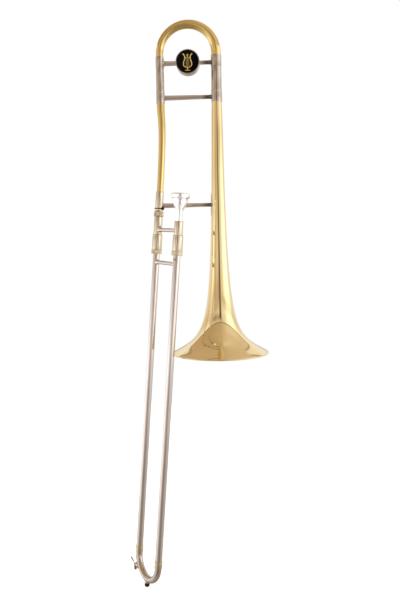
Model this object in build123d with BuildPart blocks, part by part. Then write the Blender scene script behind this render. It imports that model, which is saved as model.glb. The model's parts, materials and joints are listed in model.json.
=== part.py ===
from build123d import *
import os
from math import atan, cos, degrees, exp, pi, radians, sin, tan

# Tenor trombone, in millimetres. The origin is the centre of the bell lock nut, on the axis of the
# lower slide tube. +Z runs up the slide, away from the bow. The bell, the gooseneck and the tuning
# crook lie in the XZ plane, with the bell at +X. The slide hangs down from the two cork barrels.

os.makedirs("parts", exist_ok=True)

# ---------------------------------------------------------------- driving dimensions: hand slide
slide_spacing = 83.0          # between the axes of the two slide tubes
slide_angle = 53.64           # from the bell plane round to the slide plane, about the lower tube
bore = 12.7                   # half-inch bore of the inner slide tubes
inner_tube_wall = 0.25
stocking_wall = 0.375         # wall of the thicker running end of each inner tube
stocking_length = 120.0
slide_clearance = 0.05        # radial, stocking in outer tube
outer_tube_wall = 0.4
inner_tube_end = -722.0
outer_tube_top = -61.0        # hidden in the cork barrels
bow_centre = -744.0           # height of the bow's centre of curvature
bow_ferrule_top = -728.5
bow_ferrule_wall = 0.85
inner_brace_height = -34.7
outer_brace_height = -103.0
slide_brace_radius = 4.2

barrel_top = -44.5
barrel_bottom = -76.0
barrel_radius = 10.5
barrel_wall = 1.3
barrel_spigot_radius = 9.6
barrel_ring_radius = 11.25
barrel_ring_bottom = -85.6
cork_radius = 8.6
cork_length = 12.0

# ---------------------------------------------------------------- driving dimensions: slide lock
lock_pin_height = -93.7
lock_pin_direction = -115.0   # seen from above, from +X
lock_tongue_direction = -85.0
lock_tongue_width = 35.0      # degrees of arc
lock_travel = 22.0            # degrees that the ring turns to catch the pin
lock_pin_neck_radius = 1.25
lock_pin_head_radius = 2.6

# ---------------------------------------------------------------- driving dimensions: neck joint
tenon_radius = 7.2
tenon_top = 33.5
receiver_radius = 8.4
receiver_bottom = 10.8
receiver_top = 46.1
thread_radius = 7.95
thread_bottom = -2.0
nut_radius = 10.5
nut_bottom = -6.8
nut_top = 5.9
neck_ring_radius = 9.75
neck_ring_bottom = 8.8
neck_knob_direction = -36.0   # seen from above, from +X
neck_knob_radius = 2.8
neck_knob_reach = 12.8
collar_radius = 8.9
collar_top = -7.1
running_gap = 0.05            # radial, between parts that turn or slide on each other
free_gap = 0.3                # between faces of different bodies that only pass each other

# ---------------------------------------------------------------- driving dimensions: mouthpiece
rim_top = 40.0
mouthpiece_receiver_top = -15.8
mouthpiece_receiver_radius = 9.0
shank_end = -43.9
shank_end_radius = 5.75
shank_mouth_radius = 6.35
mouthpiece_rim_radius = 19.0
cup_radius = 12.9
throat_radius = 3.35

# ---------------------------------------------------------------- driving dimensions: bell section
bell_tilt = 4.606             # between the slide and the bell's axis
crook_x = 41.04
crook_height = 333.4
leg_spacing = 117.3
bell_length = 628.0           # crook centre to bell rim, along the bell's axis
bell_mouth_radius = 103.0     # nominally an eight-inch bell
bell_stem_radius = 4.34       # what the flare's curve tends to
flare_length = 12.16
flare_power = 0.805
lip_depth = 49.08             # how much the lip opens less than the flare's curve would
lip_length = 6.0
bell_wall = 0.6
rim_wire_radius = 1.3
neck_tube_wall = 0.6
gooseneck_top_radius = 8.3
gooseneck_radius = 6.95
gooseneck_low_hold = 144.0    # how far the line is drawn straight on from its lower end
gooseneck_high_hold = 43.0    # and back from its upper end
gooseneck_taper = 1.3         # it widens mostly towards its upper end
gooseneck_sections = 12

# ---------------------------------------------------------------- driving dimensions: tuning slide
crook_neck_radius = 7.8
crook_bell_radius = 10.2
ferrule_top = -5.5
ferrule_bottom = -28.7
lower_ferrule_top = -75.0
lower_ferrule_bottom = -101.0
tuning_leg_end = -92.0
crook_end = -14.7             # where the crook meets its legs, inside its ferrules
socket_depth = 8.0            # of the gooseneck and the bell in their ferrules
upper_brace_height = -19.7
lower_brace_height = -90.0
leg_brace_radii = (5.1, 4.1)   # at the neck side and at the bell side
tuning_wall = 0.55

# ---------------------------------------------------------------- driving dimensions: balance weight
weight_radius = 25.0
weight_front = -12.5
weight_back = 9.5
weight_face_radius = 23.3
weight_face_depth = 1.2
emblem_height = 0.5

# ---------------------------------------------------------------- driving dimensions: bell brace
main_brace_height = 15.8      # where its axis meets the slide's axis
main_brace_radii = (5.1, 3.9)
brace_flange_length = 50.0
brace_flange_width = 13.0
brace_flange_thickness = 1.1

# ---------------------------------------------------------------- driving dimensions: water key
key_angle = 32.0              # down the bow from its upper end, on the lower tube's side
key_roll = 50.0               # out of the slide plane, towards the player's left
key_hole_radius = 1.7
nipple_radius = 2.8
nipple_reach = 7.4            # from the key's middle down to the nipple
nipple_top = 10.2
key_pivot_height = 11.4
key_pivot_radius = 0.75
key_touch_reach = 11.5
key_plate_length = 12.0
key_plate_width = 9.0
key_plate_slope = 16.0
key_cork_radius = 3.8
key_cup_radius = 4.4
key_cork_thickness = 2.6
saddle_post_gap = 5.2
cork_gap = 0.02               # the cork only just touches the nipple

# ---------------------------------------------------------------- driving dimensions: bumper
bumper_tip = -804.0
bumper_radius = 5.6
bumper_socket_radius = 6.3

# ---------------------------------------------------------------- derived dimensions
inner_radius = bore / 2
inner_tube_radius = inner_radius + inner_tube_wall
stocking_radius = inner_radius + stocking_wall
outer_tube_bore = stocking_radius + slide_clearance
outer_tube_radius = outer_tube_bore + outer_tube_wall
bow_radius = slide_spacing / 2
bow_tube_inner = inner_radius
flare_height = bell_mouth_radius - bell_stem_radius + lip_depth

slide_dir = Vector(cos(radians(slide_angle)), -sin(radians(slide_angle)), 0)
slide_side = Vector(sin(radians(slide_angle)), cos(radians(slide_angle)), 0)
up_dir = Vector(-sin(radians(bell_tilt)), 0, cos(radians(bell_tilt)))
across_dir = Vector(cos(radians(bell_tilt)), 0, sin(radians(bell_tilt)))
crook_middle = Vector(crook_x, 0, crook_height)

# Upright profile planes: local X is a radius and local Y is the height along the tube's axis.
lower_tube = Plane(origin=(0, 0, 0), x_dir=(1, 0, 0), z_dir=(0, -1, 0))
upper_tube = Plane(origin=slide_dir * slide_spacing, x_dir=(1, 0, 0), z_dir=(0, -1, 0))
neck_leg = Plane(origin=crook_middle - across_dir * (leg_spacing / 2), x_dir=across_dir, z_dir=(0, -1, 0))
bell_leg = Plane(origin=crook_middle + across_dir * (leg_spacing / 2), x_dir=across_dir, z_dir=(0, -1, 0))
slide_tubes = {"lower": lower_tube, "upper": upper_tube}
bell_end_radius = crook_bell_radius + tuning_wall
tuning_legs = {
    "neck": (neck_leg, crook_neck_radius, gooseneck_top_radius),
    "bell": (bell_leg, crook_bell_radius, bell_end_radius),
}


def save(piece, name):
    """Label a finished piece and write it as its own file."""
    piece.part.label = name
    export_step(piece.part, f"parts/{name}.step")


def turn(plane, outline, mode=Mode.ADD):
    """Turn corners of (radius, height) about the plane's own upright axis, as on a lathe."""
    with BuildSketch(plane) as section:
        with BuildLine():
            Polyline(*outline, close=True)
        make_face()
    revolve(section.sketch, axis=Axis(plane.origin, plane.y_dir), mode=mode)


def ring(plane, outer, inner, low, high, mode=Mode.ADD):
    """A plain sleeve between two heights."""
    turn(plane, [(inner, low), (outer, low), (outer, high), (inner, high)], mode)


def rod(start, end, radius, mode=Mode.ADD):
    """A round bar from one point to another."""
    length = (end - start).length
    with BuildSketch(Plane(origin=start, z_dir=end - start)) as section:
        Circle(radius)
    extrude(section.sketch, amount=length, mode=mode)


def brace(start, end, rod_radii, tube_radii, flare=1.5, flare_reach=7.0):
    """A brace between two tubes' axes, which may taper, and flares where it is soldered to them."""
    length = (end - start).length
    near, far = rod_radii
    across = Vector(0, 0, 1).cross(end - start).normalized()
    along = Plane(origin=start, x_dir=(end - start).normalized(), z_dir=across)
    first = tube_radii[0] - 1
    last = length - tube_radii[1] + 1
    with BuildSketch(along) as section:
        with BuildLine():
            Line((first, 0), (first, near + flare))
            Spline(
                [(first, near + flare), (first + 1 + flare_reach, near)],
                tangents=[(0.45, -1), (1, 0)],
            )
            Line((first + 1 + flare_reach, near), (last - 1 - flare_reach, far))
            Spline(
                [(last - 1 - flare_reach, far), (last, far + flare)],
                tangents=[(1, 0), (0.45, 1)],
            )
            Line((last, far + flare), (last, 0))
            Line((last, 0), (first, 0))
        make_face()
    revolve(section.sketch, axis=Axis(start, end - start))


def knurl(plane, radius, low, high, teeth, depth):
    """Cut upright grooves round a ring so that fingers can grip it."""
    with BuildSketch(Plane(origin=plane.origin + plane.y_dir * low, z_dir=plane.y_dir)) as section:
        with PolarLocations(radius + depth * 0.35, teeth):
            Circle(depth)
    extrude(section.sketch, amount=high - low, mode=Mode.SUBTRACT)


def bell_radius(distance):
    """Outer radius of the bell at a distance from its rim, along its axis."""
    flare = (flare_length / (distance + flare_length)) ** flare_power
    return bell_stem_radius + flare_height * flare - lip_depth * exp(-distance / lip_length)


def bell_slope(distance):
    """How fast that radius shrinks with the distance from the rim."""
    flare = (flare_length / (distance + flare_length)) ** flare_power
    closing = flare_height * flare * flare_power / (distance + flare_length)
    return lip_depth / lip_length * exp(-distance / lip_length) - closing


# ================================================================ hand slide, inner part

for side, plane in slide_tubes.items():
    tube_top = -12.0 if side == "lower" else barrel_top
    stocking_top = inner_tube_end + stocking_length
    with BuildPart() as inner_tube:
        turn(plane, [
            (inner_radius, inner_tube_end),
            (stocking_radius, inner_tube_end),
            (stocking_radius, stocking_top),
            (inner_tube_radius, stocking_top + 2),
            (inner_tube_radius, tube_top),
            (inner_radius, tube_top),
        ])
    save(inner_tube, f"inner_slide_tube_{side}")

    with BuildPart() as cork_barrel:
        turn(plane, [
            (inner_tube_radius, barrel_top),
            (barrel_radius - 0.8, barrel_top),
            (barrel_radius, barrel_top - 0.8),
            (barrel_radius, barrel_bottom),
            (barrel_spigot_radius, barrel_bottom),
            (barrel_spigot_radius, barrel_bottom - 7),
            (barrel_radius - barrel_wall - 0.6, barrel_bottom - 7),
            (barrel_radius - barrel_wall - 0.6, barrel_top - 3),
            (inner_tube_radius, barrel_top - 3),
        ])
    save(cork_barrel, f"cork_barrel_{side}")

    with BuildPart() as cork:
        ring(plane, cork_radius, inner_tube_radius, barrel_top - 3 - cork_length, barrel_top - 3)
    save(cork, f"slide_cork_{side}")

with BuildPart() as tenon:
    ring(lower_tube, tenon_radius, inner_tube_radius, barrel_top + 4, tenon_top)
save(tenon, "slide_tenon")

with BuildPart() as collar:
    turn(lower_tube, [
        (tenon_radius, barrel_top + 4),
        (inner_tube_radius, barrel_top + 4),
        (inner_tube_radius, barrel_top),
        (collar_radius, barrel_top),
        (collar_radius, collar_top - 0.6),
        (collar_radius - 0.6, collar_top),
        (tenon_radius, collar_top),
    ])
save(collar, "slide_collar")

with BuildPart() as mouthpiece_receiver:
    turn(upper_tube, [
        (shank_end_radius + running_gap, barrel_top),
        (mouthpiece_receiver_radius, barrel_top),
        (mouthpiece_receiver_radius, mouthpiece_receiver_top - 0.8),
        (mouthpiece_receiver_radius - 0.8, mouthpiece_receiver_top),
        (shank_mouth_radius + running_gap, mouthpiece_receiver_top),
        (shank_end_radius + running_gap, shank_end),
    ])
save(mouthpiece_receiver, "mouthpiece_receiver")

with BuildPart() as inner_brace:
    brace_height = Vector(0, 0, inner_brace_height)
    brace(brace_height, slide_dir * slide_spacing + brace_height, (slide_brace_radius, slide_brace_radius),
          (collar_radius, mouthpiece_receiver_radius))
    ring(lower_tube, collar_radius, 0, barrel_top, 0, Mode.SUBTRACT)
    ring(upper_tube, mouthpiece_receiver_radius, 0, barrel_top, 0, Mode.SUBTRACT)
save(inner_brace, "inner_slide_brace")

# The lower barrel's ring is fixed and only matches the turning lock ring on the upper barrel.
ring_lip = barrel_ring_bottom + 1.6
for side, plane in slide_tubes.items():
    gap = 0 if side == "lower" else running_gap
    with BuildPart() as barrel_ring:
        turn(plane, [
            (outer_tube_radius + free_gap, barrel_ring_bottom),
            (barrel_ring_radius - 0.5, barrel_ring_bottom),
            (barrel_ring_radius, barrel_ring_bottom + 0.5),
            (barrel_ring_radius, barrel_bottom - 0.5 - gap),
            (barrel_ring_radius - 0.5, barrel_bottom - gap),
            (barrel_spigot_radius + gap, barrel_bottom - gap),
            (barrel_spigot_radius + gap, ring_lip),
            (outer_tube_radius + free_gap, ring_lip),
        ])
        knurl(plane, barrel_ring_radius, barrel_ring_bottom, barrel_bottom, 40, 0.45)
        if side == "upper":
            # A tongue hangs from the lock ring, with a notch that takes the pin on the outer slide.
            tongue_inner = outer_tube_radius + 0.8
            tongue_outer = tongue_inner + 1.4
            tongue_end = lock_pin_height - lock_pin_neck_radius - 2
            notch_depth = degrees(lock_pin_neck_radius / tongue_inner)
            leading = lock_tongue_direction - lock_tongue_width / 2
            notch_end = lock_pin_direction + notch_depth + lock_travel + 2
            with BuildSketch(Plane(origin=plane.origin + Vector(0, 0, tongue_end))):
                with BuildLine():
                    start_dir = radians(leading)
                    end_dir = radians(leading + lock_tongue_width)
                    CenterArc((0, 0), tongue_outer, leading, lock_tongue_width)
                    CenterArc((0, 0), tongue_inner, leading, lock_tongue_width)
                    Line((tongue_inner * cos(start_dir), tongue_inner * sin(start_dir)),
                         (tongue_outer * cos(start_dir), tongue_outer * sin(start_dir)))
                    Line((tongue_inner * cos(end_dir), tongue_inner * sin(end_dir)),
                         (tongue_outer * cos(end_dir), tongue_outer * sin(end_dir)))
                make_face()
            extrude(amount=barrel_ring_bottom - tongue_end + 0.8)
            notch_half = lock_pin_neck_radius + 0.3
            notch_dir = Vector(cos(radians(notch_end)), sin(radians(notch_end)), 0)
            notch_plane = Plane(
                origin=plane.origin + Vector(0, 0, lock_pin_height) + notch_dir * (tongue_inner - 1),
                x_dir=notch_dir.cross(Vector(0, 0, 1)),
                z_dir=notch_dir,
            )
            with BuildSketch(notch_plane):
                with Locations((-notch_half * 0.5, 0)):
                    Circle(notch_half)
                with Locations((4 - notch_half * 0.5, 0)):
                    Rectangle(8, 2 * notch_half)
            extrude(amount=4, mode=Mode.SUBTRACT)
    save(barrel_ring, "barrel_end_ring" if side == "lower" else "slide_lock_ring")

# ================================================================ neck joint

with BuildPart() as lock_nut:
    turn(lower_tube, [
        (tenon_radius + running_gap, nut_bottom),
        (nut_radius - 1.2, nut_bottom),
        (nut_radius, nut_bottom + 1.2),
        (nut_radius, nut_top - 3.4),
        (nut_radius - 1.0, nut_top - 2.6),
        (nut_radius - 1.0, nut_top),
        (thread_radius + running_gap, nut_top),
        (thread_radius + running_gap, thread_bottom - 1),
        (tenon_radius + running_gap, thread_bottom - 1),
    ])
    knurl(lower_tube, nut_radius, nut_bottom, nut_top - 3, 36, 0.5)
save(lock_nut, "bell_lock_nut")

with BuildPart() as neck_receiver:
    turn(lower_tube, [
        (tenon_radius + running_gap, thread_bottom),
        (thread_radius, thread_bottom),
        (thread_radius, receiver_bottom),
        (receiver_radius, receiver_bottom),
        (receiver_radius, receiver_top - 0.4),
        (receiver_radius - 0.4, receiver_top),
        (gooseneck_radius, receiver_top),
        (gooseneck_radius, tenon_top + 0.5),
        (tenon_radius + running_gap, tenon_top + 0.5),
    ])
save(neck_receiver, "neck_receiver")

with BuildPart() as neck_ring:
    ring(lower_tube, neck_ring_radius, thread_radius, neck_ring_bottom, receiver_bottom)
    knob_dir = Vector(cos(radians(neck_knob_direction)), sin(radians(neck_knob_direction)), 0)
    knob_base = Vector(0, 0, (neck_ring_bottom + receiver_bottom) / 2)
    rod(knob_base + knob_dir * receiver_radius, knob_base + knob_dir * neck_knob_reach, neck_knob_radius)
    ring(lower_tube, receiver_radius, 0, neck_ring_bottom - 2, receiver_bottom + 4, Mode.SUBTRACT)
    ring(lower_tube, neck_ring_radius, thread_radius, neck_ring_bottom, receiver_bottom)
save(neck_ring, "neck_ring")

# ================================================================ mouthpiece

with BuildPart() as mouthpiece:
    with BuildSketch(upper_tube):
        with BuildLine():
            rim_inner = Spline(
                [(throat_radius, rim_top - 32), (cup_radius - 1.6, rim_top - 13), (cup_radius, rim_top - 2.2)],
                tangents=[(0.35, 1), (0.1, 1)],
            )
            crest = Spline(
                [rim_inner @ 1, (cup_radius + 2.8, rim_top), (mouthpiece_rim_radius, rim_top - 2.6)],
                tangents=[(0.1, 1), (0.15, -1)],
            )
            band = Line(crest @ 1, (mouthpiece_rim_radius - 0.4, rim_top - 8.4))
            shoulder = Spline(
                [band @ 1, (14.7, rim_top - 14.5), (13.4, rim_top - 21), (9.3, rim_top - 29.5),
                 (6.6, rim_top - 35)],
                tangents=[(-0.5, -1), (-0.1, -1)],
            )
            shank = Line(shoulder @ 1, (shank_mouth_radius + 0.15, mouthpiece_receiver_top + 1.2))
            step = Line(shank @ 1, (shank_mouth_radius, mouthpiece_receiver_top + 0.6))
            taper = Line(step @ 1, (shank_end_radius, shank_end))
            tip = Line(taper @ 1, (shank_end_radius - 0.8, shank_end))
            backbore = Line(tip @ 1, (throat_radius, rim_top - 38))
            Line(backbore @ 1, rim_inner @ 0)
        make_face()
    revolve(axis=Axis(upper_tube.origin, upper_tube.y_dir))
save(mouthpiece, "mouthpiece")

# ================================================================ hand slide, outer part

bow_middle = slide_dir * bow_radius + Vector(0, 0, bow_centre)
key_normal = (
    (slide_dir * -cos(radians(key_angle)) - Vector(0, 0, sin(radians(key_angle)))) * cos(radians(key_roll))
    - slide_side * sin(radians(key_roll))
)
key_down = slide_dir * sin(radians(key_angle)) - Vector(0, 0, cos(radians(key_angle)))
key_across = key_normal.cross(key_down)
key_middle = bow_middle + (
    slide_dir * -cos(radians(key_angle)) - Vector(0, 0, sin(radians(key_angle)))
) * bow_radius


def key_point(down, out, across=0.0):
    """A point of the water key: down along the bow, out from its centre line, and across."""
    return key_middle + key_down * down + key_normal * out + key_across * across


for side, plane in slide_tubes.items():
    with BuildPart() as outer_tube:
        ring(plane, outer_tube_radius, outer_tube_bore, bow_centre, outer_tube_top)
    save(outer_tube, f"outer_slide_tube_{side}")

    with BuildPart() as bow_ferrule:
        ferrule_radius = outer_tube_radius + bow_ferrule_wall
        turn(plane, [
            (outer_tube_radius, bow_centre),
            (ferrule_radius, bow_centre),
            (ferrule_radius, bow_ferrule_top - 0.5),
            (ferrule_radius - 0.5, bow_ferrule_top),
            (outer_tube_radius, bow_ferrule_top),
        ])
    save(bow_ferrule, f"bow_ferrule_{side}")

with BuildPart() as bow:
    with BuildSketch(Plane(origin=(0, 0, bow_centre), x_dir=slide_dir, z_dir=(0, 0, 1))):
        Circle(outer_tube_radius)
        Circle(bow_tube_inner, mode=Mode.SUBTRACT)
    revolve(axis=Axis(bow_middle, slide_side), revolution_arc=-180)
    rod(key_point(nipple_reach, 4), key_point(nipple_reach, nipple_top), key_hole_radius, Mode.SUBTRACT)
save(bow, "slide_bow")

with BuildPart() as outer_brace:
    brace_height = Vector(0, 0, outer_brace_height)
    brace(brace_height, slide_dir * slide_spacing + brace_height, (slide_brace_radius, slide_brace_radius),
          (outer_tube_radius, outer_tube_radius), flare=1.3)
    for plane in slide_tubes.values():
        ring(plane, outer_tube_radius, 0, outer_brace_height - 20, outer_brace_height + 20, Mode.SUBTRACT)
save(outer_brace, "outer_slide_brace")

with BuildPart() as lock_pin:
    pin_dir = Vector(cos(radians(lock_pin_direction)), sin(radians(lock_pin_direction)), 0)
    pin_base = upper_tube.origin + Vector(0, 0, lock_pin_height)
    head_start = outer_tube_radius + 2.5
    rod(pin_base + pin_dir * (outer_tube_radius - 0.3), pin_base + pin_dir * (head_start + 0.1),
        lock_pin_neck_radius)
    rod(pin_base + pin_dir * head_start, pin_base + pin_dir * (head_start + 1.3), lock_pin_head_radius)
    chamfer(lock_pin.edges().filter_by(GeomType.CIRCLE).sort_by(Axis(pin_base, pin_dir))[-1], 0.4)
    ring(upper_tube, outer_tube_radius, 0, lock_pin_height - 5, lock_pin_height + 5, Mode.SUBTRACT)
save(lock_pin, "slide_lock_pin")

# The bumper stands in a socket under the bow, on the slide's middle line.
bumper_plane = Plane(origin=slide_dir * bow_radius, x_dir=(1, 0, 0), z_dir=(0, -1, 0))
bow_bottom = bow_centre - bow_radius - outer_tube_radius
with BuildPart() as bumper_socket:
    ring(bumper_plane, bumper_socket_radius, 0, bow_bottom - 1.6, bow_bottom + 3)
    with BuildSketch(Plane(origin=(0, 0, bow_centre), x_dir=slide_dir, z_dir=(0, 0, 1))) as bow_section:
        Circle(outer_tube_radius)
    revolve(bow_section.sketch, axis=Axis(bow_middle, slide_side), revolution_arc=-180, mode=Mode.SUBTRACT)
save(bumper_socket, "bumper_socket")

with BuildPart() as bumper:
    turn(bumper_plane, [
        (0, bow_bottom - 1.6),
        (bumper_radius - 0.4, bow_bottom - 1.6),
        (bumper_radius, bow_bottom - 2.6),
        (bumper_radius, bumper_tip + 2.2),
        (bumper_radius - 0.7, bumper_tip + 0.7),
        (bumper_radius - 2.2, bumper_tip),
        (0, bumper_tip),
    ])
save(bumper, "rubber_bumper")

# ================================================================ water key

with BuildPart() as nipple:
    rod(key_point(nipple_reach, 5), key_point(nipple_reach, nipple_top), nipple_radius)
    revolve(bow_section.sketch, axis=Axis(bow_middle, slide_side), revolution_arc=-180, mode=Mode.SUBTRACT)
    rod(key_point(nipple_reach, 4), key_point(nipple_reach, nipple_top + 1), key_hole_radius, Mode.SUBTRACT)
save(nipple, "water_key_nipple")

key_top_plane = Plane(origin=key_point(0, 0), x_dir=key_down, z_dir=key_normal)
key_side_plane = Plane(origin=key_point(0, 0), x_dir=key_down, z_dir=-key_across)
post_thickness = 1.5
with BuildPart() as saddle:
    with BuildSketch(key_top_plane.offset(4.0)):
        RectangleRounded(6.4, saddle_post_gap + 2 * post_thickness, 1.2)
    extrude(amount=4.4)
    for post_side in (-1, 1):
        post_plane = key_side_plane.offset(post_side * (saddle_post_gap / 2 + post_thickness / 2))
        with BuildSketch(post_plane.offset(-post_thickness / 2)):
            with Locations((0, (8.0 + key_pivot_height) / 2)):
                Rectangle(3.8, key_pivot_height - 8.0 + 0.2)
            with Locations((0, key_pivot_height)):
                Circle(1.9)
        extrude(amount=post_thickness)
    rod(key_point(0, key_pivot_height, -6), key_point(0, key_pivot_height, 6), key_pivot_radius,
        Mode.SUBTRACT)
    revolve(bow_section.sketch, axis=Axis(bow_middle, slide_side), revolution_arc=-180, mode=Mode.SUBTRACT)
save(saddle, "water_key_saddle")

with BuildPart() as pivot:
    pin_end = saddle_post_gap / 2 + post_thickness
    rod(key_point(0, key_pivot_height, -pin_end), key_point(0, key_pivot_height, pin_end), key_pivot_radius)
    rod(key_point(0, key_pivot_height, pin_end), key_point(0, key_pivot_height, pin_end + 0.9), 1.4)
save(pivot, "water_key_pivot_screw")

with BuildPart() as spring:
    for coil_side in (-1, 1):
        rod(key_point(0, key_pivot_height, coil_side * 1.6),
            key_point(0, key_pivot_height, coil_side * 2.45), 1.7)
    rod(key_point(0, key_pivot_height, -3), key_point(0, key_pivot_height, 3), key_pivot_radius + running_gap,
        Mode.SUBTRACT)
save(spring, "water_key_spring")

cup_low = nipple_top + key_cork_thickness
with BuildPart() as key_lever:
    rod(key_point(0, key_pivot_height, -1.5), key_point(0, key_pivot_height, 1.5), 1.8)
    with BuildSketch(key_side_plane):
        with BuildLine():
            Polyline(
                (nipple_reach, cup_low + 0.4),
                (nipple_reach - key_cork_radius - 0.4, cup_low + 0.2),
                (1.0, key_pivot_height + 0.2),
                (-1.0, key_pivot_height + 0.2),
                (-key_touch_reach, key_pivot_height + 2.8),
                (-key_touch_reach, key_pivot_height + 4.2),
                (0, key_pivot_height + 1.9),
                (nipple_reach, cup_low + 2.2),
                close=True,
            )
        make_face()
    extrude(amount=1.4, both=True)
    rod(key_point(nipple_reach, cup_low), key_point(nipple_reach, cup_low + 2.2), key_cup_radius)
    plate_plane = Plane(
        origin=key_point(-key_touch_reach, key_pivot_height + 3.2),
        x_dir=key_down * cos(radians(key_plate_slope)) - key_normal * sin(radians(key_plate_slope)),
        z_dir=key_normal * cos(radians(key_plate_slope)) + key_down * sin(radians(key_plate_slope)),
    )
    with BuildSketch(plate_plane):
        RectangleRounded(key_plate_length, key_plate_width, 4.3)
    extrude(amount=1.4)
    rod(key_point(0, key_pivot_height, -3), key_point(0, key_pivot_height, 3),
        key_pivot_radius + running_gap, Mode.SUBTRACT)
save(key_lever, "water_key_lever")

with BuildPart() as key_cork:
    rod(key_point(nipple_reach, nipple_top + cork_gap), key_point(nipple_reach, cup_low), key_cork_radius)
save(key_cork, "water_key_cork")

# ================================================================ bell

bell_axis = Axis(bell_leg.origin, bell_leg.y_dir)
stations = [0, 2, 4, 7, 11, 16, 24, 36, 55, 85, 130, 190, 270, 360, 440, 490]
stem_inner_radius = bell_end_radius - bell_wall
with BuildPart() as bell:
    outer_points = [(bell_radius(s), s - bell_length) for s in stations]
    inner_points = []
    for s in stations:
        lean = atan(bell_slope(s))
        inner_points.append((bell_radius(s) - bell_wall * cos(lean), s - bell_length + bell_wall * sin(lean)))
    with BuildSketch(bell_leg):
        with BuildLine():
            Spline(*outer_points, (bell_end_radius, lower_ferrule_bottom))
            Polyline(
                (bell_end_radius, lower_ferrule_bottom),
                (bell_end_radius, lower_ferrule_bottom + socket_depth),
                (stem_inner_radius, lower_ferrule_bottom + socket_depth),
                (stem_inner_radius, lower_ferrule_bottom),
            )
            Spline(*inner_points, (stem_inner_radius, lower_ferrule_bottom))
            Line(inner_points[0], outer_points[0])
        make_face()
    revolve(axis=bell_axis)
    # The sheet ends inside the bead that is rolled round its edge.
    with BuildSketch(bell_leg) as wire_section:
        with Locations((bell_mouth_radius - rim_wire_radius + 0.1, 0.1 - bell_length)):
            Circle(rim_wire_radius)
    revolve(wire_section.sketch, axis=bell_axis, mode=Mode.SUBTRACT)
save(bell, "bell")

with BuildPart() as rim_wire:
    revolve(wire_section.sketch, axis=bell_axis)
save(rim_wire, "bell_rim_bead")

# ================================================================ gooseneck

# The gooseneck is a shallow S from the neck receiver up to the neck leg. It bows towards the bell, and
# its two straight ends sit in their sockets.
neck_low = Vector(0, 0, receiver_top)
neck_high = neck_leg.origin + up_dir * lower_ferrule_bottom
with BuildLine() as neck_line:
    Bezier(neck_low, neck_low + Vector(0, 0, gooseneck_low_hold),
           neck_high - up_dir * gooseneck_high_hold, neck_high)
neck_curve = neck_line.edge()
with BuildPart() as gooseneck:
    for shrink, how in ((0, Mode.ADD), (neck_tube_wall, Mode.SUBTRACT)):
        faces = []
        for step_number in range(gooseneck_sections + 1):
            share = step_number / gooseneck_sections
            onward = neck_curve % share
            widened = (gooseneck_top_radius - gooseneck_radius) * share ** gooseneck_taper
            with BuildSketch(Plane(origin=neck_curve @ share, x_dir=Vector(0, 1, 0).cross(onward),
                                   z_dir=onward)) as neck_section:
                Circle(gooseneck_radius + widened - shrink)
            faces.append(neck_section.sketch.face())
        loft(faces, mode=how)
    ring(lower_tube, gooseneck_radius, gooseneck_radius - neck_tube_wall, tenon_top + 0.5, receiver_top)
    ring(neck_leg, gooseneck_top_radius, gooseneck_top_radius - neck_tube_wall,
         lower_ferrule_bottom, lower_ferrule_bottom + socket_depth)
save(gooseneck, "gooseneck")

# ================================================================ tuning slide and its sleeves

upper_ferrule_radius = {}
lower_ferrule_radius = {}
for side, (plane, leg_radius, stem_radius) in tuning_legs.items():
    sleeve_bore = leg_radius + running_gap
    sleeve_radius = sleeve_bore + tuning_wall
    upper_ferrule_radius[side] = sleeve_radius + 0.3
    lower_ferrule_radius[side] = max(sleeve_radius, stem_radius) + 0.45

    # The ferrule of the crook and the leg below it.
    with BuildPart() as upper_ferrule:
        turn(plane, [
            (leg_radius, ferrule_bottom),
            (upper_ferrule_radius[side], ferrule_bottom),
            (upper_ferrule_radius[side], ferrule_top - 0.3),
            (sleeve_radius, ferrule_top),
            (leg_radius, ferrule_top),
        ])
    save(upper_ferrule, f"crook_ferrule_{side}")

    with BuildPart() as leg:
        ring(plane, leg_radius, leg_radius - tuning_wall, tuning_leg_end, crook_end)
    save(leg, f"tuning_leg_{side}")

    # The sleeve that the leg slides in, and the ferrule that joins the sleeve to the tube below.
    with BuildPart() as sleeve:
        ring(plane, sleeve_radius, sleeve_bore, lower_ferrule_bottom + socket_depth + 0.5,
             ferrule_bottom - 0.1)
    save(sleeve, f"tuning_sleeve_{side}")

    with BuildPart() as lower_ferrule:
        ferrule_outer = lower_ferrule_radius[side]
        socket_step = lower_ferrule_bottom + socket_depth + 0.25
        turn(plane, [
            (stem_radius, lower_ferrule_bottom),
            (ferrule_outer - 0.3, lower_ferrule_bottom),
            (ferrule_outer, lower_ferrule_bottom + 0.3),
            (ferrule_outer, lower_ferrule_top - 0.3),
            (ferrule_outer - 0.3, lower_ferrule_top),
            (sleeve_radius, lower_ferrule_top),
            (sleeve_radius, socket_step),
            (stem_radius, socket_step),
        ])
    save(lower_ferrule, f"sleeve_ferrule_{side}")

with BuildPart() as crook:
    turns = 10
    for shrink, how in ((0, Mode.ADD), (tuning_wall, Mode.SUBTRACT)):
        faces = []
        for step_number in range(turns + 1):
            turned = pi * step_number / turns
            radius = crook_neck_radius + (crook_bell_radius - crook_neck_radius) * step_number / turns - shrink
            outward = across_dir * -cos(turned) + up_dir * sin(turned)
            onward = across_dir * sin(turned) + up_dir * cos(turned)
            centre = crook_middle + outward * (leg_spacing / 2)
            with BuildSketch(Plane(origin=centre, x_dir=outward, z_dir=onward)) as crook_section:
                Circle(radius)
            faces.append(crook_section.sketch.face())
        loft(faces, mode=how)
    for plane, leg_radius, stem_radius in tuning_legs.values():
        ring(plane, leg_radius, leg_radius - tuning_wall, crook_end, 0)
save(crook, "tuning_crook")

weight_middle = crook_middle + up_dir * upper_brace_height
weight_plane = Plane(origin=weight_middle, x_dir=across_dir, z_dir=(0, -1, 0))

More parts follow.
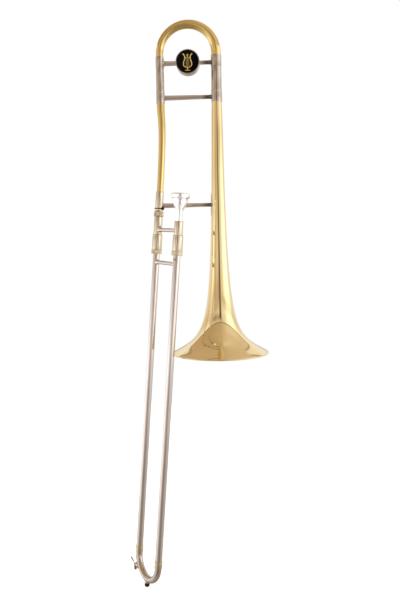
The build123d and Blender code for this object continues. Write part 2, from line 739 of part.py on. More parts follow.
leg_braces = {}
for name, height, ferrule_radius in (
    ("tuning_slide_brace", upper_brace_height, upper_ferrule_radius),
    ("bell_section_brace", lower_brace_height, lower_ferrule_radius),
):
    with BuildPart() as leg_brace:
        brace(neck_leg.origin + up_dir * height, bell_leg.origin + up_dir * height, leg_brace_radii,
              (ferrule_radius["neck"], ferrule_radius["bell"]), flare=0.8, flare_reach=5)
        for side, (plane, leg_radius, stem_radius) in tuning_legs.items():
            ring(plane, ferrule_radius[side], 0, height - 9, height + 9, Mode.SUBTRACT)
    save(leg_brace, name)
    leg_braces[name] = leg_brace

# ================================================================ balance weight

with BuildPart() as weight:
    with BuildSketch(weight_plane.offset(-weight_back)):
        Circle(weight_radius)
    extrude(amount=weight_back - weight_front)
    fillet(weight.edges().filter_by(GeomType.CIRCLE), 1.2)
    with BuildSketch(weight_plane.offset(-weight_front - weight_face_depth)):
        Circle(weight_face_radius)
    extrude(amount=weight_face_depth + 1, mode=Mode.SUBTRACT)
    add(leg_braces["tuning_slide_brace"].part, mode=Mode.SUBTRACT)
    rod(weight_middle + Vector(0, 2, 0), weight_middle + Vector(0, weight_back + 5, 0), 2.0, Mode.SUBTRACT)
save(weight, "balance_weight")

with BuildPart() as weight_face:
    with BuildSketch(weight_plane.offset(-weight_front - weight_face_depth)):
        Circle(weight_face_radius)
    extrude(amount=weight_face_depth - 0.3)
save(weight_face, "balance_weight_face")

# A plain lyre: two arms that curve up from a foot, a crossbar and three strings.
with BuildPart() as emblem:
    with BuildSketch(weight_plane.offset(-weight_front - 0.3)):
        for arm_side in (-1, 1):
            with BuildLine():
                Spline((0, -13.5), (arm_side * 7.4, -9), (arm_side * 8.2, -1.5), (arm_side * 5.4, 7),
                       (arm_side * 8.0, 15), (arm_side * 10.4, 14.5))
            trace(line_width=2.0)
        for low, high, line_width in (
            ((-6.8, 8), (6.8, 8), 1.7),
            ((-5.6, -18), (5.6, -18), 2.2),
            ((0, -18), (0, -13), 2.6),
            ((0, 8), (0, 12), 1.7),
            ((-2.7, -12.4), (-2.7, 8), 0.8),
            ((0, -13), (0, 8), 0.8),
            ((2.7, -12.4), (2.7, 8), 0.8),
        ):
            with BuildLine():
                Line(low, high)
            trace(line_width=line_width)
        with Locations((0, 13)):
            Circle(1.9)
    extrude(amount=emblem_height)
save(emblem, "balance_weight_emblem")

with BuildPart() as weight_screw:
    rod(weight_middle + Vector(0, leg_brace_radii[0], 0), weight_middle + Vector(0, weight_back, 0), 2.0)
    rod(weight_middle + Vector(0, weight_back, 0), weight_middle + Vector(0, weight_back + 2.2, 0), 4.5)
    with BuildSketch(Plane(origin=weight_middle + Vector(0, weight_back + 2.2, 0), x_dir=across_dir,
                           z_dir=(0, 1, 0))):
        Rectangle(10, 1.2)
    extrude(amount=-1, mode=Mode.SUBTRACT)
save(weight_screw, "balance_weight_screw")

# ================================================================ bell brace

brace_start = Vector(0, 0, main_brace_height)
brace_run = bell_leg.origin.X + (bell_leg.origin.Z - main_brace_height) * tan(radians(bell_tilt))
brace_length = brace_run * cos(radians(bell_tilt))
brace_end = brace_start + across_dir * brace_length
brace_station = bell_length + (brace_end - bell_leg.origin).dot(up_dir)
flange_stations = [brace_station + step_number * 10 for step_number in range(-3, 4)]
flange_gap = 0.05


def stem_sleeve(inner_offset, outer_offset, mode=Mode.ADD):
    """A sleeve that follows the outside of the bell's stem around the brace."""
    outline = [(bell_radius(s) + inner_offset, s - bell_length) for s in flange_stations]
    outline += [(bell_radius(s) + outer_offset, s - bell_length) for s in flange_stations[::-1]]
    turn(bell_leg, outline, mode)


with BuildPart() as flange:
    stem_sleeve(flange_gap, flange_gap + brace_flange_thickness)
    with BuildSketch(Plane(origin=brace_end, x_dir=up_dir, z_dir=-across_dir)):
        Ellipse(brace_flange_length / 2, brace_flange_width / 2)
    extrude(amount=40, mode=Mode.INTERSECT)
save(flange, "bell_brace_flange")

with BuildPart() as main_brace:
    stem_radius = bell_radius(brace_station) + flange_gap
    brace(brace_start, brace_end, main_brace_radii, (receiver_radius, stem_radius), flare=0.6, flare_reach=5)
    ring(lower_tube, receiver_radius, 0, 0, 40, Mode.SUBTRACT)
    turn(bell_leg, [(0, flange_stations[0] - bell_length)]
         + [(bell_radius(s) + flange_gap + brace_flange_thickness, s - bell_length) for s in flange_stations]
         + [(0, flange_stations[-1] - bell_length)], Mode.SUBTRACT)
save(main_brace, "bell_brace")
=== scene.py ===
"""The looks of a tenor trombone: lacquered brass, nickel silver and silver plate in a white studio.

Lengths are in millimetres in this script and become metres when a mesh is made.
"""
import json
from math import atan, atan2, copysign, cos, exp, pi, radians, sin, sqrt, tan

import bpy
from mathutils import Matrix, Vector


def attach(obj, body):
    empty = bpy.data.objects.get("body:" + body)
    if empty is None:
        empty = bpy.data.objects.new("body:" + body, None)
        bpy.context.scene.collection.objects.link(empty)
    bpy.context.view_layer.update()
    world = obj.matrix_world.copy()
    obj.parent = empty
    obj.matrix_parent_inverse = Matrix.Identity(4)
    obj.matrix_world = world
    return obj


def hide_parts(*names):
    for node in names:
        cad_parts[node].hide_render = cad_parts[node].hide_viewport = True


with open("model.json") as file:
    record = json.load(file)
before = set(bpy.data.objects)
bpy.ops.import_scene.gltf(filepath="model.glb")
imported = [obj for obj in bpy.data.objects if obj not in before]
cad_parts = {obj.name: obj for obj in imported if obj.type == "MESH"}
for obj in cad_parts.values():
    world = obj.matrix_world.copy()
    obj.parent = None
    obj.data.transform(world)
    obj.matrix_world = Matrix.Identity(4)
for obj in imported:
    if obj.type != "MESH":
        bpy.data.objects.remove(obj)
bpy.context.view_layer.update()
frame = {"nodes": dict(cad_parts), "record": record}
nodes = frame["nodes"]
MM = 0.001

# ---------------- sizes, as in the CAD model
SLIDE_ANGLE = radians(53.64)
SLIDE_SPACING = 83.0
BELL_TILT = radians(4.606)
CROOK_MIDDLE = Vector((41.04, 0.0, 333.4))
LEG_SPACING = 117.3

INNER_RADIUS = 6.35
INNER_TUBE_RADIUS = 6.6
OUTER_TUBE_BORE = 6.775
OUTER_TUBE_RADIUS = 7.175
OUTER_TUBE_TOP = -61.0
BOW_CENTRE = -744.0
BOW_RADIUS = SLIDE_SPACING / 2
BOW_FERRULE_TOP = -728.5
BOW_FERRULE_RADIUS = 8.025
BUMPER_TIP = -804.0
BUMPER_RADIUS = 5.6
SLIDE_BRACE_RADIUS = 4.2
INNER_BRACE_HEIGHT = -34.7
OUTER_BRACE_HEIGHT = -103.0

BARREL_TOP = -44.5
BARREL_BOTTOM = -76.0
BARREL_RADIUS = 10.5
SPIGOT_RADIUS = 9.6
CORK_RADIUS = 8.6
RING_RADIUS = 11.25
RING_BOTTOM = -85.6

COLLAR_RADIUS = 8.9
COLLAR_TOP = -7.1
TENON_RADIUS = 7.2
THREAD_RADIUS = 7.95
NUT_RADIUS = 10.5
NUT_BOTTOM = -6.8
NUT_TOP = 5.9
RECEIVER_RADIUS = 8.4
RECEIVER_BOTTOM = 10.8
RECEIVER_TOP = 46.1
RUNNING_GAP = 0.05

RIM_TOP = 40.0
RIM_RADIUS = 19.0
CUP_RADIUS = 12.9
THROAT_RADIUS = 3.35
MOUTHPIECE_RECEIVER_RADIUS = 9.0
SHANK_MOUTH = -15.8
SHANK_END = -43.9
SHANK_END_RADIUS = 5.75
SHANK_MOUTH_RADIUS = 6.35

BELL_LENGTH = 628.0
BELL_MOUTH_RADIUS = 103.0
BELL_STEM_RADIUS = 4.34
FLARE_LENGTH = 12.16
FLARE_POWER = 0.805
LIP_DEPTH = 49.08
LIP_LENGTH = 6.0
BELL_END_RADIUS = 10.75
BELL_WALL = 0.6
BEAD_RADIUS = 1.3

NECK_RADIUS = 6.95
NECK_TOP_RADIUS = 8.3
NECK_TAPER = 1.3
NECK_LOW_HOLD = 144.0
NECK_HIGH_HOLD = 43.0
CROOK_NECK_RADIUS = 7.8
CROOK_BELL_RADIUS = 10.2
TUNING_WALL = 0.55
CROOK_END = -14.7
FERRULE_TOP = -5.5
FERRULE_BOTTOM = -28.7
LOWER_FERRULE_TOP = -75.0
LOWER_FERRULE_BOTTOM = -101.0
SOCKET_DEPTH = 8.0
UPPER_BRACE_HEIGHT = -19.7
LOWER_BRACE_HEIGHT = -90.0
LEG_BRACE_RADII = (5.1, 4.1)
MAIN_BRACE_RADII = (5.1, 3.9)
MAIN_BRACE_HEIGHT = 15.8
FLANGE_GAP = 0.05
FLANGE_THICKNESS = 1.1
FLANGE_LENGTH = 50.0
FLANGE_WIDTH = 13.0

NECK_RING_RADIUS = 9.75
NECK_RING_BOTTOM = 8.8
NECK_KNOB_DIRECTION = radians(-36.0)
NECK_KNOB_RADIUS = 2.8
NECK_KNOB_REACH = 12.8
LOCK_PIN_HEIGHT = -93.7
LOCK_PIN_DIRECTION = radians(-115.0)
LOCK_PIN_NECK_RADIUS = 1.25
LOCK_PIN_RADIUS = 2.6

KEY_ANGLE = radians(32.0)
KEY_ROLL = radians(50.0)
NIPPLE_RADIUS = 2.8
NIPPLE_HOLE_RADIUS = 1.7
NIPPLE_REACH = 7.4
NIPPLE_TOP = 10.2
KEY_PIVOT_HEIGHT = 11.4
KEY_TOUCH_REACH = 11.5
KEY_CORK_RADIUS = 3.8
KEY_CUP_RADIUS = 4.4
KEY_CORK_THICKNESS = 2.6
KEY_PLATE_SLOPE = radians(16.0)

WEIGHT_RADIUS = 25.0
WEIGHT_FRONT = 12.5
WEIGHT_BACK = -9.5
FACE_RADIUS = 23.3
FACE_DEPTH = 1.2

UP = Vector((0.0, 0.0, 1.0))
SLIDE_DIR = Vector((cos(SLIDE_ANGLE), -sin(SLIDE_ANGLE), 0.0))
SLIDE_SIDE = Vector((sin(SLIDE_ANGLE), cos(SLIDE_ANGLE), 0.0))
BELL_UP = Vector((-sin(BELL_TILT), 0.0, cos(BELL_TILT)))
BELL_ACROSS = Vector((cos(BELL_TILT), 0.0, sin(BELL_TILT)))
NECK_LEG = CROOK_MIDDLE - BELL_ACROSS * (LEG_SPACING / 2)
BELL_LEG = CROOK_MIDDLE + BELL_ACROSS * (LEG_SPACING / 2)
LOWER = Vector((0.0, 0.0, 0.0))
UPPER = SLIDE_DIR * SLIDE_SPACING
FRONT = Vector((0.0, -1.0, 0.0))
slide_tubes = {"lower": LOWER, "upper": UPPER}
bow_middle = SLIDE_DIR * BOW_RADIUS + UP * BOW_CENTRE


# ---------------- materials
def fill_inputs(tree, node, inputs):
    """Set a node's inputs by name or number: sockets are linked and plain values are filled in."""
    for name, value in inputs.items():
        if isinstance(value, bpy.types.NodeSocket):
            tree.links.new(value, node.inputs[name])
        else:
            node.inputs[name].default_value = value
    return node


def add_node(tree, kind, inputs=None, **settings):
    """A shader node with its settings and inputs."""
    node = tree.nodes.new("ShaderNode" + kind)
    for name, value in settings.items():
        setattr(node, name, value)
    return fill_inputs(tree, node, inputs or {})


def new_material(name):
    """An empty node material with a Principled surface."""
    material = bpy.data.materials.new(name)
    material.use_nodes = True
    tree = material.node_tree
    return material, tree, tree.nodes["Principled BSDF"]


def add_noise(tree, scale, detail=2.0, stretch=(1.0, 1.0, 1.0)):
    """A noise texture on the object's own coordinates, which are metres."""
    place = add_node(tree, "TexCoord").outputs["Object"]
    mapped = add_node(tree, "Mapping", {"Vector": place, "Scale": stretch}).outputs["Vector"]
    inputs = {"Vector": mapped, "Scale": scale, "Detail": detail, "Roughness": 0.5}
    return add_node(tree, "TexNoise", inputs).outputs["Fac"]


def remap(tree, value, low, high, from_low=0.3, from_high=0.7, **settings):
    """Spread a value over a range. Most of a noise lies between 0.3 and 0.7."""
    return add_node(tree, "MapRange", {
        "Value": value, "From Min": from_low, "From Max": from_high, "To Min": low, "To Max": high,
    }, **settings).outputs["Result"]


def blend_colors(tree, factor, first, second):
    """Mix two colours, each a socket or its red, green, blue and alpha."""
    inputs = {"Factor": factor, "A": first, "B": second}
    return add_node(tree, "Mix", inputs, data_type="RGBA").outputs["Result"]


def mottled(tree, scale, detail, light, dark):
    """Two colours mixed by a noise."""
    share = remap(tree, add_noise(tree, scale, detail), 0.0, 1.0)
    return blend_colors(tree, share, (*light, 1.0), (*dark, 1.0))


def add_bump(tree, height, strength, distance, normal=None):
    """The normal of a bump by a height value, over another normal; distance is in metres."""
    inputs = {"Height": height, "Strength": strength, "Distance": distance}
    if normal:
        inputs["Normal"] = normal
    return add_node(tree, "Bump", inputs).outputs["Normal"]


def metal(name, light, dark, roughness=(0.05, 0.12), coat=0.0, ripple=0.00002, streak=(1.0, 1.0, 1.0)):
    """A polished metal: slight tarnish in its colour, smears in its gloss and a soft ripple in its sheet."""
    material, tree, shader = new_material(name)
    wave = add_bump(tree, add_noise(tree, 30.0, 1.0), 0.6, ripple)
    fill_inputs(tree, shader, {
        "Metallic": 1.0,
        "Base Color": mottled(tree, 22.0, 3.0, light, dark),
        "Roughness": remap(tree, add_noise(tree, 90.0, 4.0, streak), *roughness),
        "Normal": add_bump(tree, add_noise(tree, 900.0, 3.0, streak), 0.15, 0.00002, wave),
    })
    if coat:
        fill_inputs(tree, shader, {"Coat Weight": coat, "Coat Roughness": 0.03, "Coat IOR": 1.5})
    return material


def plastic(name, light, dark, roughness=(0.1, 0.2), specular=0.5, grain=900.0, depth=0.00003):
    """A non-metal: enamel, rubber or cork."""
    material, tree, shader = new_material(name)
    fill_inputs(tree, shader, {
        "Base Color": mottled(tree, grain * 0.4, 4.0, light, dark),
        "Roughness": remap(tree, add_noise(tree, grain, 3.0), *roughness),
        "Specular IOR Level": specular,
        "Normal": add_bump(tree, add_noise(tree, grain, 4.0), 0.5, depth),
    })
    return material


def darken_along(material, from_x, to_x, darkest):
    """Darken a metal evenly along x, from one place in millimetres to another; this is painted shade."""
    tree = material.node_tree
    base_color = tree.nodes["Principled BSDF"].inputs["Base Color"]
    place = add_node(tree, "SeparateXYZ", {"Vector": add_node(tree, "TexCoord").outputs["Object"]})
    # Painted shade: the colour's scale falls from 1 to the darkest value along x.
    painted_shade = remap(tree, place.outputs["X"], 1.0, darkest, from_x * MM, to_x * MM)
    inputs = {0: base_color.links[0].from_socket, "Scale": painted_shade}
    tree.links.new(add_node(tree, "VectorMath", inputs, operation="SCALE").outputs["Vector"], base_color)
    return material


UPRIGHT = (1.0, 1.0, 0.06)
FLAT_RIPPLE = 0.00001
NICKEL = ((0.70, 0.62, 0.575), (0.65, 0.57, 0.525))
SILVER = ((0.98, 0.97, 0.975), (0.96, 0.95, 0.955))
MATERIALS = {
    "lacquered_brass": metal("lacquered brass", (0.88, 0.71, 0.38), (0.85, 0.67, 0.34), (0.04, 0.08), 0.5,
                             FLAT_RIPPLE, UPRIGHT),
    "yellow_brass_fittings": metal("turned brass", (0.70, 0.60, 0.43), (0.58, 0.48, 0.32), (0.12, 0.22)),
    "nickel_silver": metal("nickel silver", *NICKEL, (0.06, 0.12), 0.2, FLAT_RIPPLE, UPRIGHT),
    "chromed_tube": metal("hard chrome", (0.76, 0.76, 0.77), (0.72, 0.72, 0.73), (0.04, 0.08),
                          streak=UPRIGHT),
    "silver_plate": metal("silver plate", *SILVER, (0.18, 0.26)),
    "gold_inlay": metal("gold inlay", (0.90, 0.68, 0.24), (0.80, 0.57, 0.16), (0.15, 0.3)),
    "spring_steel": metal("spring steel", (0.56, 0.56, 0.57), (0.45, 0.45, 0.47), (0.2, 0.35)),
    "black_enamel": plastic("black enamel", (0.002, 0.002, 0.003), (0.003, 0.003, 0.003), (0.04, 0.09),
                            0.06),
    "black_rubber": plastic("black rubber", (0.008, 0.008, 0.008), (0.014, 0.014, 0.013), (0.45, 0.65),
                            0.2),
    "cork": plastic("cork", (0.50, 0.33, 0.18), (0.30, 0.17, 0.08), (0.7, 0.9), 0.2, 1500.0, 0.0002),
}
KEY_NICKEL = metal("worn key nickel", (0.38, 0.31, 0.25), (0.26, 0.20, 0.15), (0.12, 0.3))
DULL_NICKEL = metal("dull nickel silver", (0.54, 0.465, 0.40), (0.48, 0.405, 0.34), (0.06, 0.14), 0.2,
                    FLAT_RIPPLE)
WARM_NICKEL = metal("warm nickel silver", (0.69, 0.59, 0.45), (0.64, 0.54, 0.405), (0.06, 0.12), 0.2,
                    FLAT_RIPPLE, UPRIGHT)
DARK_BRASS = metal("dark turned brass", (0.46, 0.36, 0.22), (0.34, 0.25, 0.14), (0.15, 0.25))
CROOK_BRASS = metal("lacquered crook brass", (0.77, 0.56, 0.21), (0.72, 0.51, 0.18), (0.05, 0.10), 0.5,
                    FLAT_RIPPLE)
# The darkest share of the painted shade on the braces' ends at the bell, a painted dark reflection.
PAINTED_SHADE_DARKEST = 0.27


def nickel_with_painted_shade(from_x, to_x):
    """Nickel silver for a brace, with painted shade that darkens it towards its end at the bell, standing in
    for a dark reflection there.
    """
    plain = metal(f"brace nickel with painted shade from {from_x:g}", *NICKEL, coat=0.2, ripple=FLAT_RIPPLE)
    return darken_along(plain, from_x, to_x, PAINTED_SHADE_DARKEST)


slot_of_node = {entry["node"]: entry["material_slot"] for entry in frame["record"]["subparts"]}


# ---------------- meshes
def link_mesh(name, mesh, material):
    """An object of one material for a mesh."""
    mesh.materials.clear()
    mesh.materials.append(material)
    piece = bpy.data.objects.new(name, mesh)
    bpy.context.scene.collection.objects.link(piece)
    return piece


def make_object(name, points, faces, material, smooth_angle=35.0):
    """A mesh object from points in millimetres."""
    mesh = bpy.data.meshes.new(name)
    mesh.from_pydata([tuple(Vector(p) * MM) for p in points], [], faces)
    mesh.validate()
    mesh.shade_smooth()
    mesh.set_sharp_from_angle(angle=radians(smooth_angle))
    return link_mesh(name, mesh, material)


def frame_of(axis):
    """Two directions square to an axis."""
    side = axis.cross(Vector((0.0, 1.0, 0.0)))
    if side.length < 0.1:
        side = axis.cross(Vector((1.0, 0.0, 0.0)))
    side.normalize()
    return side, axis.cross(side).normalized()


def outward(points, faces):
    """Turn the faces of a closed mesh outward, by the sign of its volume."""
    volume = 0.0
    for face in faces:
        first = Vector(points[face[0]])
        for second, third in zip(face[1:], face[2:]):
            volume += first.dot(Vector(points[second]).cross(Vector(points[third])))
    return faces if volume > 0 else [face[::-1] for face in faces]


def rounded(outline, radius, steps=4):
    """Round the corners of a closed outline of (radius, height) points. A third value is a corner's own."""
    result = []
    count = len(outline)
    for index, point in enumerate(outline):
        here = Vector(point[:2])
        own = point[2] if len(point) > 2 else radius
        before = Vector(outline[index - 1][:2]) - here
        after = Vector(outline[(index + 1) % count][:2]) - here
        turn = pi - before.angle(after, pi)
        reach = min(own * tan(turn / 2), before.length * 0.45, after.length * 0.45)
        if own == 0 or turn < 0.05 or reach < 1e-4 or here.x < 1e-6:
            result.append(tuple(here))
            continue
        start = here + before.normalized() * reach
        end = here + after.normalized() * reach
        for step in range(steps + 1):
            t = step / steps
            result.append(tuple(start * (1 - t) ** 2 + here * 2 * t * (1 - t) + end * t ** 2))
    return result


def join_rows(rows, closed=True):
    """The faces between rows of points that each go once round; a row of one repeated point is a pole."""
    faces = []
    pairs = list(zip(rows, rows[1:]))
    if closed:
        pairs.append((rows[-1], rows[0]))
    for row, following in pairs:
        for index in range(len(row)):
            after = (index + 1) % len(row)
            corners = [row[index], row[after], following[after], following[index]]
            kept = [corner for position, corner in enumerate(corners) if corner != corners[position - 1]]
            if len(kept) > 2:
                faces.append(kept)
    return faces


def ring_of(points, segments, place):
    """Add a ring of points, placed by their angle, and return their numbers."""
    start = len(points)
    for segment in range(segments):
        points.append(place(2 * pi * segment / segments))
    return list(range(start, len(points)))


def pole_of(points, point, segments):
    """Add one point, and return its number as often as a ring has points."""
    points.append(point)
    return [len(points) - 1] * segments


def lathe(name, origin, axis, outline, material, segments=96, wobble=None, smooth_angle=35.0):
    """Turn a closed outline of (radius, height) points about an axis. wobble adds to the radius."""
    side, other = frame_of(axis)
    points = []
    rows = []
    for radius, height in outline:
        middle = origin + axis * height

        def place(angle):
            reach = radius + (wobble(angle, radius, height) if wobble else 0.0)
            return middle + (side * cos(angle) + other * sin(angle)) * reach
        on_axis = radius < 1e-6
        rows.append(pole_of(points, middle, segments) if on_axis else ring_of(points, segments, place))
    return make_object(name, points, outward(points, join_rows(rows)), material, smooth_angle)


def tube(name, stations, wall, material, segments=64):
    """A hollow tube through stations of (centre, direction, side, radius)."""
    points = []
    rows = []
    inside = [(*station, radius - wall) for *station, radius in stations[::-1]]
    for centre, direction, side, radius in stations + inside:
        other = direction.cross(side).normalized()
        rows.append(ring_of(points, segments, lambda angle: (
            centre + (side * cos(angle) + other * sin(angle)) * radius)))
    return make_object(name, points, outward(points, join_rows(rows)), material)


def half_turn(middle, across, up, bend_radius, radii, steps):
    """Stations round a half turn of tube, whose radius goes evenly from the first to the last."""
    stations = []
    for share in fine_levels(0.0, 1.0, steps):
        turned_by = pi * share
        outside = up * sin(turned_by) - across * cos(turned_by)
        onward = across * sin(turned_by) + up * cos(turned_by)
        radius = radii[0] + (radii[1] - radii[0]) * share
        stations.append((middle + outside * bend_radius, onward, outside, radius))
    return stations


# A brace's flared ends: their stations, the steepness of their curve, and how deep in the tube they close.
FLARE_STEPS = 10
FLARE_CURVE = 2.4
ROD_STEPS = 8
POLE_DEPTH = 0.6


def fine_levels(low, high, count):
    """Evenly spaced values from low to high."""
    return [low + (high - low) * step / count for step in range(count + 1)]


def brace(name, start, end, tube_up, rod_radii, tube_radii, flare, flare_reach, material, top_fillet=0.0,
          segments=48):
    """A round brace whose flared ends sit saddle-wise on the two tubes, which run along tube_up.

    A top fillet sweeps the upper side of its first end further up the tube.
    """
    onward = (end - start).normalized()
    across = onward.cross(tube_up).normalized()
    rise = across.cross(onward).normalized()
    length = (end - start).length
    near, far = rod_radii
    first, last = tube_radii[0], length - tube_radii[1]
    run = last - first - 2 * flare_reach
    stations = []
    for share in fine_levels(0.0, 1.0, FLARE_STEPS):
        radius = near + flare * (1 - share) ** FLARE_CURVE
        stations.append((first + flare_reach * share, radius, 1 - share, 0))
    for share in fine_levels(0.0, 1.0, ROD_STEPS)[1:-1]:
        stations.append((first + flare_reach + run * share, near + (far - near) * share, 0, 0))
    for share in fine_levels(1.0, 0.0, FLARE_STEPS):
        radius = far + flare * (1 - share) ** FLARE_CURVE
        stations.append((last - flare_reach * share, radius, 0, 1 - share))
    points = []
    rows = []
    for reach, radius, near_weight, far_weight in stations:
        def place(angle):
            lateral = radius * cos(angle)
            dips = [bend - sqrt(max(bend ** 2 - lateral ** 2, 0.0)) for bend in tube_radii]
            along = reach - dips[0] * near_weight + dips[1] * far_weight
            swept = top_fillet * near_weight ** FLARE_CURVE * max(sin(angle), 0.0)
            return start + onward * along + across * lateral + rise * (radius * sin(angle) + swept)
        rows.append(ring_of(points, segments, place))
    near_pole = pole_of(points, start + onward * (first * POLE_DEPTH), segments)
    far_pole = pole_of(points, start + onward * (length - tube_radii[1] * POLE_DEPTH), segments)
    faces = join_rows([near_pole, *rows, far_pole], closed=False)
    return make_object(name, points, outward(points, faces), material)


def curve_points(corners, steps=10):
    """A smooth line through points, as a Catmull-Rom spline."""
    result = []
    count = len(corners)
    for index in range(count - 1):
        before = Vector(corners[max(index - 1, 0)])
        start = Vector(corners[index])
        end = Vector(corners[index + 1])
        after = Vector(corners[min(index + 2, count - 1)])
        for step in range(steps):
            t = step / steps
            result.append(tuple(0.5 * (
                2 * start + (end - before) * t + (2 * before - 5 * start + 4 * end - after) * t * t
                + (3 * start - before - 3 * end + after) * t ** 3)))
    result.append(tuple(corners[-1]))
    return result


def wires(name, strokes, material):
    """Round wires with eased ends as one mesh. A stroke is (points, radius)."""
    curve = bpy.data.curves.new(name, "CURVE")
    curve.dimensions = "3D"
    curve.bevel_depth = MM
    curve.bevel_resolution = 4
    curve.use_fill_caps = True
    for stroke, radius in strokes:
        spline = curve.splines.new("POLY")
        spline.points.add(len(stroke) - 1)
        for index, place in enumerate(stroke):
            spline.points[index].co = (*(place * MM), 1.0)
            spline.points[index].radius = radius * (0.75 if index in (0, len(stroke) - 1) else 1.0)
    line = bpy.data.objects.new(name, curve)
    bpy.context.scene.collection.objects.link(line)
    bpy.context.view_layer.update()
    mesh = bpy.data.meshes.new_from_object(line.evaluated_get(bpy.context.evaluated_depsgraph_get()))
    bpy.data.objects.remove(line)
    mesh.shade_smooth()
    return link_mesh(name, mesh, material)


def knurl(radius, low, high, teeth, depth):
    """Grooves round a turned piece, between two heights, for lathe's wobble."""
    def groove(angle, at_radius, height):
        if at_radius < radius - depth * 1.2 or not low <= height <= high:
            return 0.0
        fade = min(1.0, (height - low) / 0.8, (high - height) / 0.8)
        return -depth * fade * (0.5 - 0.5 * cos(teeth * angle)) ** 1.6
    return groove


def stand_for(piece, body, *replaced):
    """Let a piece ride on a body in place of CAD nodes, which are hidden."""
    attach(piece, body)
    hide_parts(*replaced)
    return piece


def ride_along(piece, body):
    """Let an extra piece ride on a body, next to a node that is replaced by another piece."""
    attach(piece, body)


def finish_of(node):
    """The material of a node's slot."""
    return MATERIALS[slot_of_node[node]]


def groove_line(radius, start, end, depth=0.2, ease=0.1, edge_ease=0.1):
    """Three points of an outline: a fine groove between two heights."""
    return [(radius, start, edge_ease), (radius - depth, (start + end) / 2, ease), (radius, end, edge_ease)]


def pipe_outline(bore, radius, low, high):
    """The outline of a plain pipe."""
    return [(bore, low), (radius, low), (radius, high), (bore, high)]


def turned(node, body, origin, axis, outline, edge=0.25, material=None, **options):
    """A lathe-turned piece with eased edges in place of the CAD node of that name."""
    finish = material or finish_of(node)
    piece = lathe(node + "_turned", origin, axis, rounded(outline, edge), finish, **options)
    return stand_for(piece, body, node)


# ---------------- carried-over CAD nodes
for node_name, node in nodes.items():
    node.data.materials.clear()
    node.data.materials.append(finish_of(node_name))
    node.data.shade_smooth()
    node.data.set_sharp_from_angle(angle=radians(35.0))


# ---------------- hand slide
for side_name, tube_axis in slide_tubes.items():
    pipe = pipe_outline(OUTER_TUBE_BORE, OUTER_TUBE_RADIUS, BOW_CENTRE, OUTER_TUBE_TOP)
    turned(f"outer_slide_tube_{side_name}", "outer_slide", tube_axis, UP, pipe, edge=0.15)
    turned(f"bow_ferrule_{side_name}", "outer_slide", tube_axis, UP, [
        (OUTER_TUBE_RADIUS, BOW_CENTRE),
        (BOW_FERRULE_RADIUS, BOW_CENTRE),
        *groove_line(BOW_FERRULE_RADIUS, BOW_FERRULE_TOP - 3.2, BOW_FERRULE_TOP - 2.4, 0.25, 0.25, 0.25),
        (BOW_FERRULE_RADIUS, BOW_FERRULE_TOP - 0.5),
        (OUTER_TUBE_RADIUS, BOW_FERRULE_TOP),
    ])
    turned(f"cork_barrel_{side_name}", "inner_slide", tube_axis, UP, [
        (INNER_TUBE_RADIUS, BARREL_TOP),
        (BARREL_RADIUS - 0.8, BARREL_TOP, 0.5),
        (BARREL_RADIUS, BARREL_TOP - 0.8, 0.5),
        *groove_line(BARREL_RADIUS, BARREL_TOP - 3.0, BARREL_TOP - 3.6, 0.3, edge_ease=0.15),
        (BARREL_RADIUS, BARREL_BOTTOM),
        (SPIGOT_RADIUS, BARREL_BOTTOM),
        (SPIGOT_RADIUS, BARREL_BOTTOM - 7),
        (CORK_RADIUS, BARREL_BOTTOM - 7),
        (CORK_RADIUS, BARREL_TOP - 3),
        (INNER_TUBE_RADIUS, BARREL_TOP - 3),
    ], material=WARM_NICKEL)

RING_TEETH = 40
RING_KNURL = knurl(RING_RADIUS, RING_BOTTOM + 0.9, BARREL_BOTTOM - 1.2, RING_TEETH, 0.5)
turned("barrel_end_ring", "inner_slide", LOWER, UP, [
    (OUTER_TUBE_RADIUS + 0.3, RING_BOTTOM),
    (RING_RADIUS - 0.5, RING_BOTTOM, 0.4),
    (RING_RADIUS, RING_BOTTOM + 0.5, 0.4),
    *[(RING_RADIUS, height, 0) for height in fine_levels(RING_BOTTOM + 0.9, BARREL_BOTTOM - 1.2, 8)],
    (RING_RADIUS, BARREL_BOTTOM - 0.5, 0.4),
    (RING_RADIUS - 0.5, BARREL_BOTTOM, 0.4),
    (SPIGOT_RADIUS, BARREL_BOTTOM),
    (SPIGOT_RADIUS, RING_BOTTOM + 1.6),
    (OUTER_TUBE_RADIUS + 0.3, RING_BOTTOM + 1.6),
], segments=RING_TEETH * 8, wobble=RING_KNURL, smooth_angle=50.0)

turned("slide_collar", "inner_slide", LOWER, UP, [
    (TENON_RADIUS, BARREL_TOP + 4),
    (INNER_TUBE_RADIUS, BARREL_TOP + 4),
    (INNER_TUBE_RADIUS, BARREL_TOP),
    (COLLAR_RADIUS, BARREL_TOP),
    (COLLAR_RADIUS, COLLAR_TOP - 0.6),
    (COLLAR_RADIUS - 0.6, COLLAR_TOP),
    (TENON_RADIUS, COLLAR_TOP),
], material=WARM_NICKEL)
turned("mouthpiece_receiver", "inner_slide", UPPER, UP, [
    (SHANK_END_RADIUS + RUNNING_GAP, BARREL_TOP),
    (MOUTHPIECE_RECEIVER_RADIUS, BARREL_TOP),
    *groove_line(MOUTHPIECE_RECEIVER_RADIUS, SHANK_MOUTH - 2.6, SHANK_MOUTH - 2.0, 0.25, edge_ease=0.15),
    (MOUTHPIECE_RECEIVER_RADIUS, SHANK_MOUTH - 0.8, 0.5),
    (MOUTHPIECE_RECEIVER_RADIUS - 0.8, SHANK_MOUTH, 0.5),
    (SHANK_MOUTH_RADIUS + RUNNING_GAP, SHANK_MOUTH),
    (SHANK_END_RADIUS + RUNNING_GAP, SHANK_END),
], material=WARM_NICKEL)

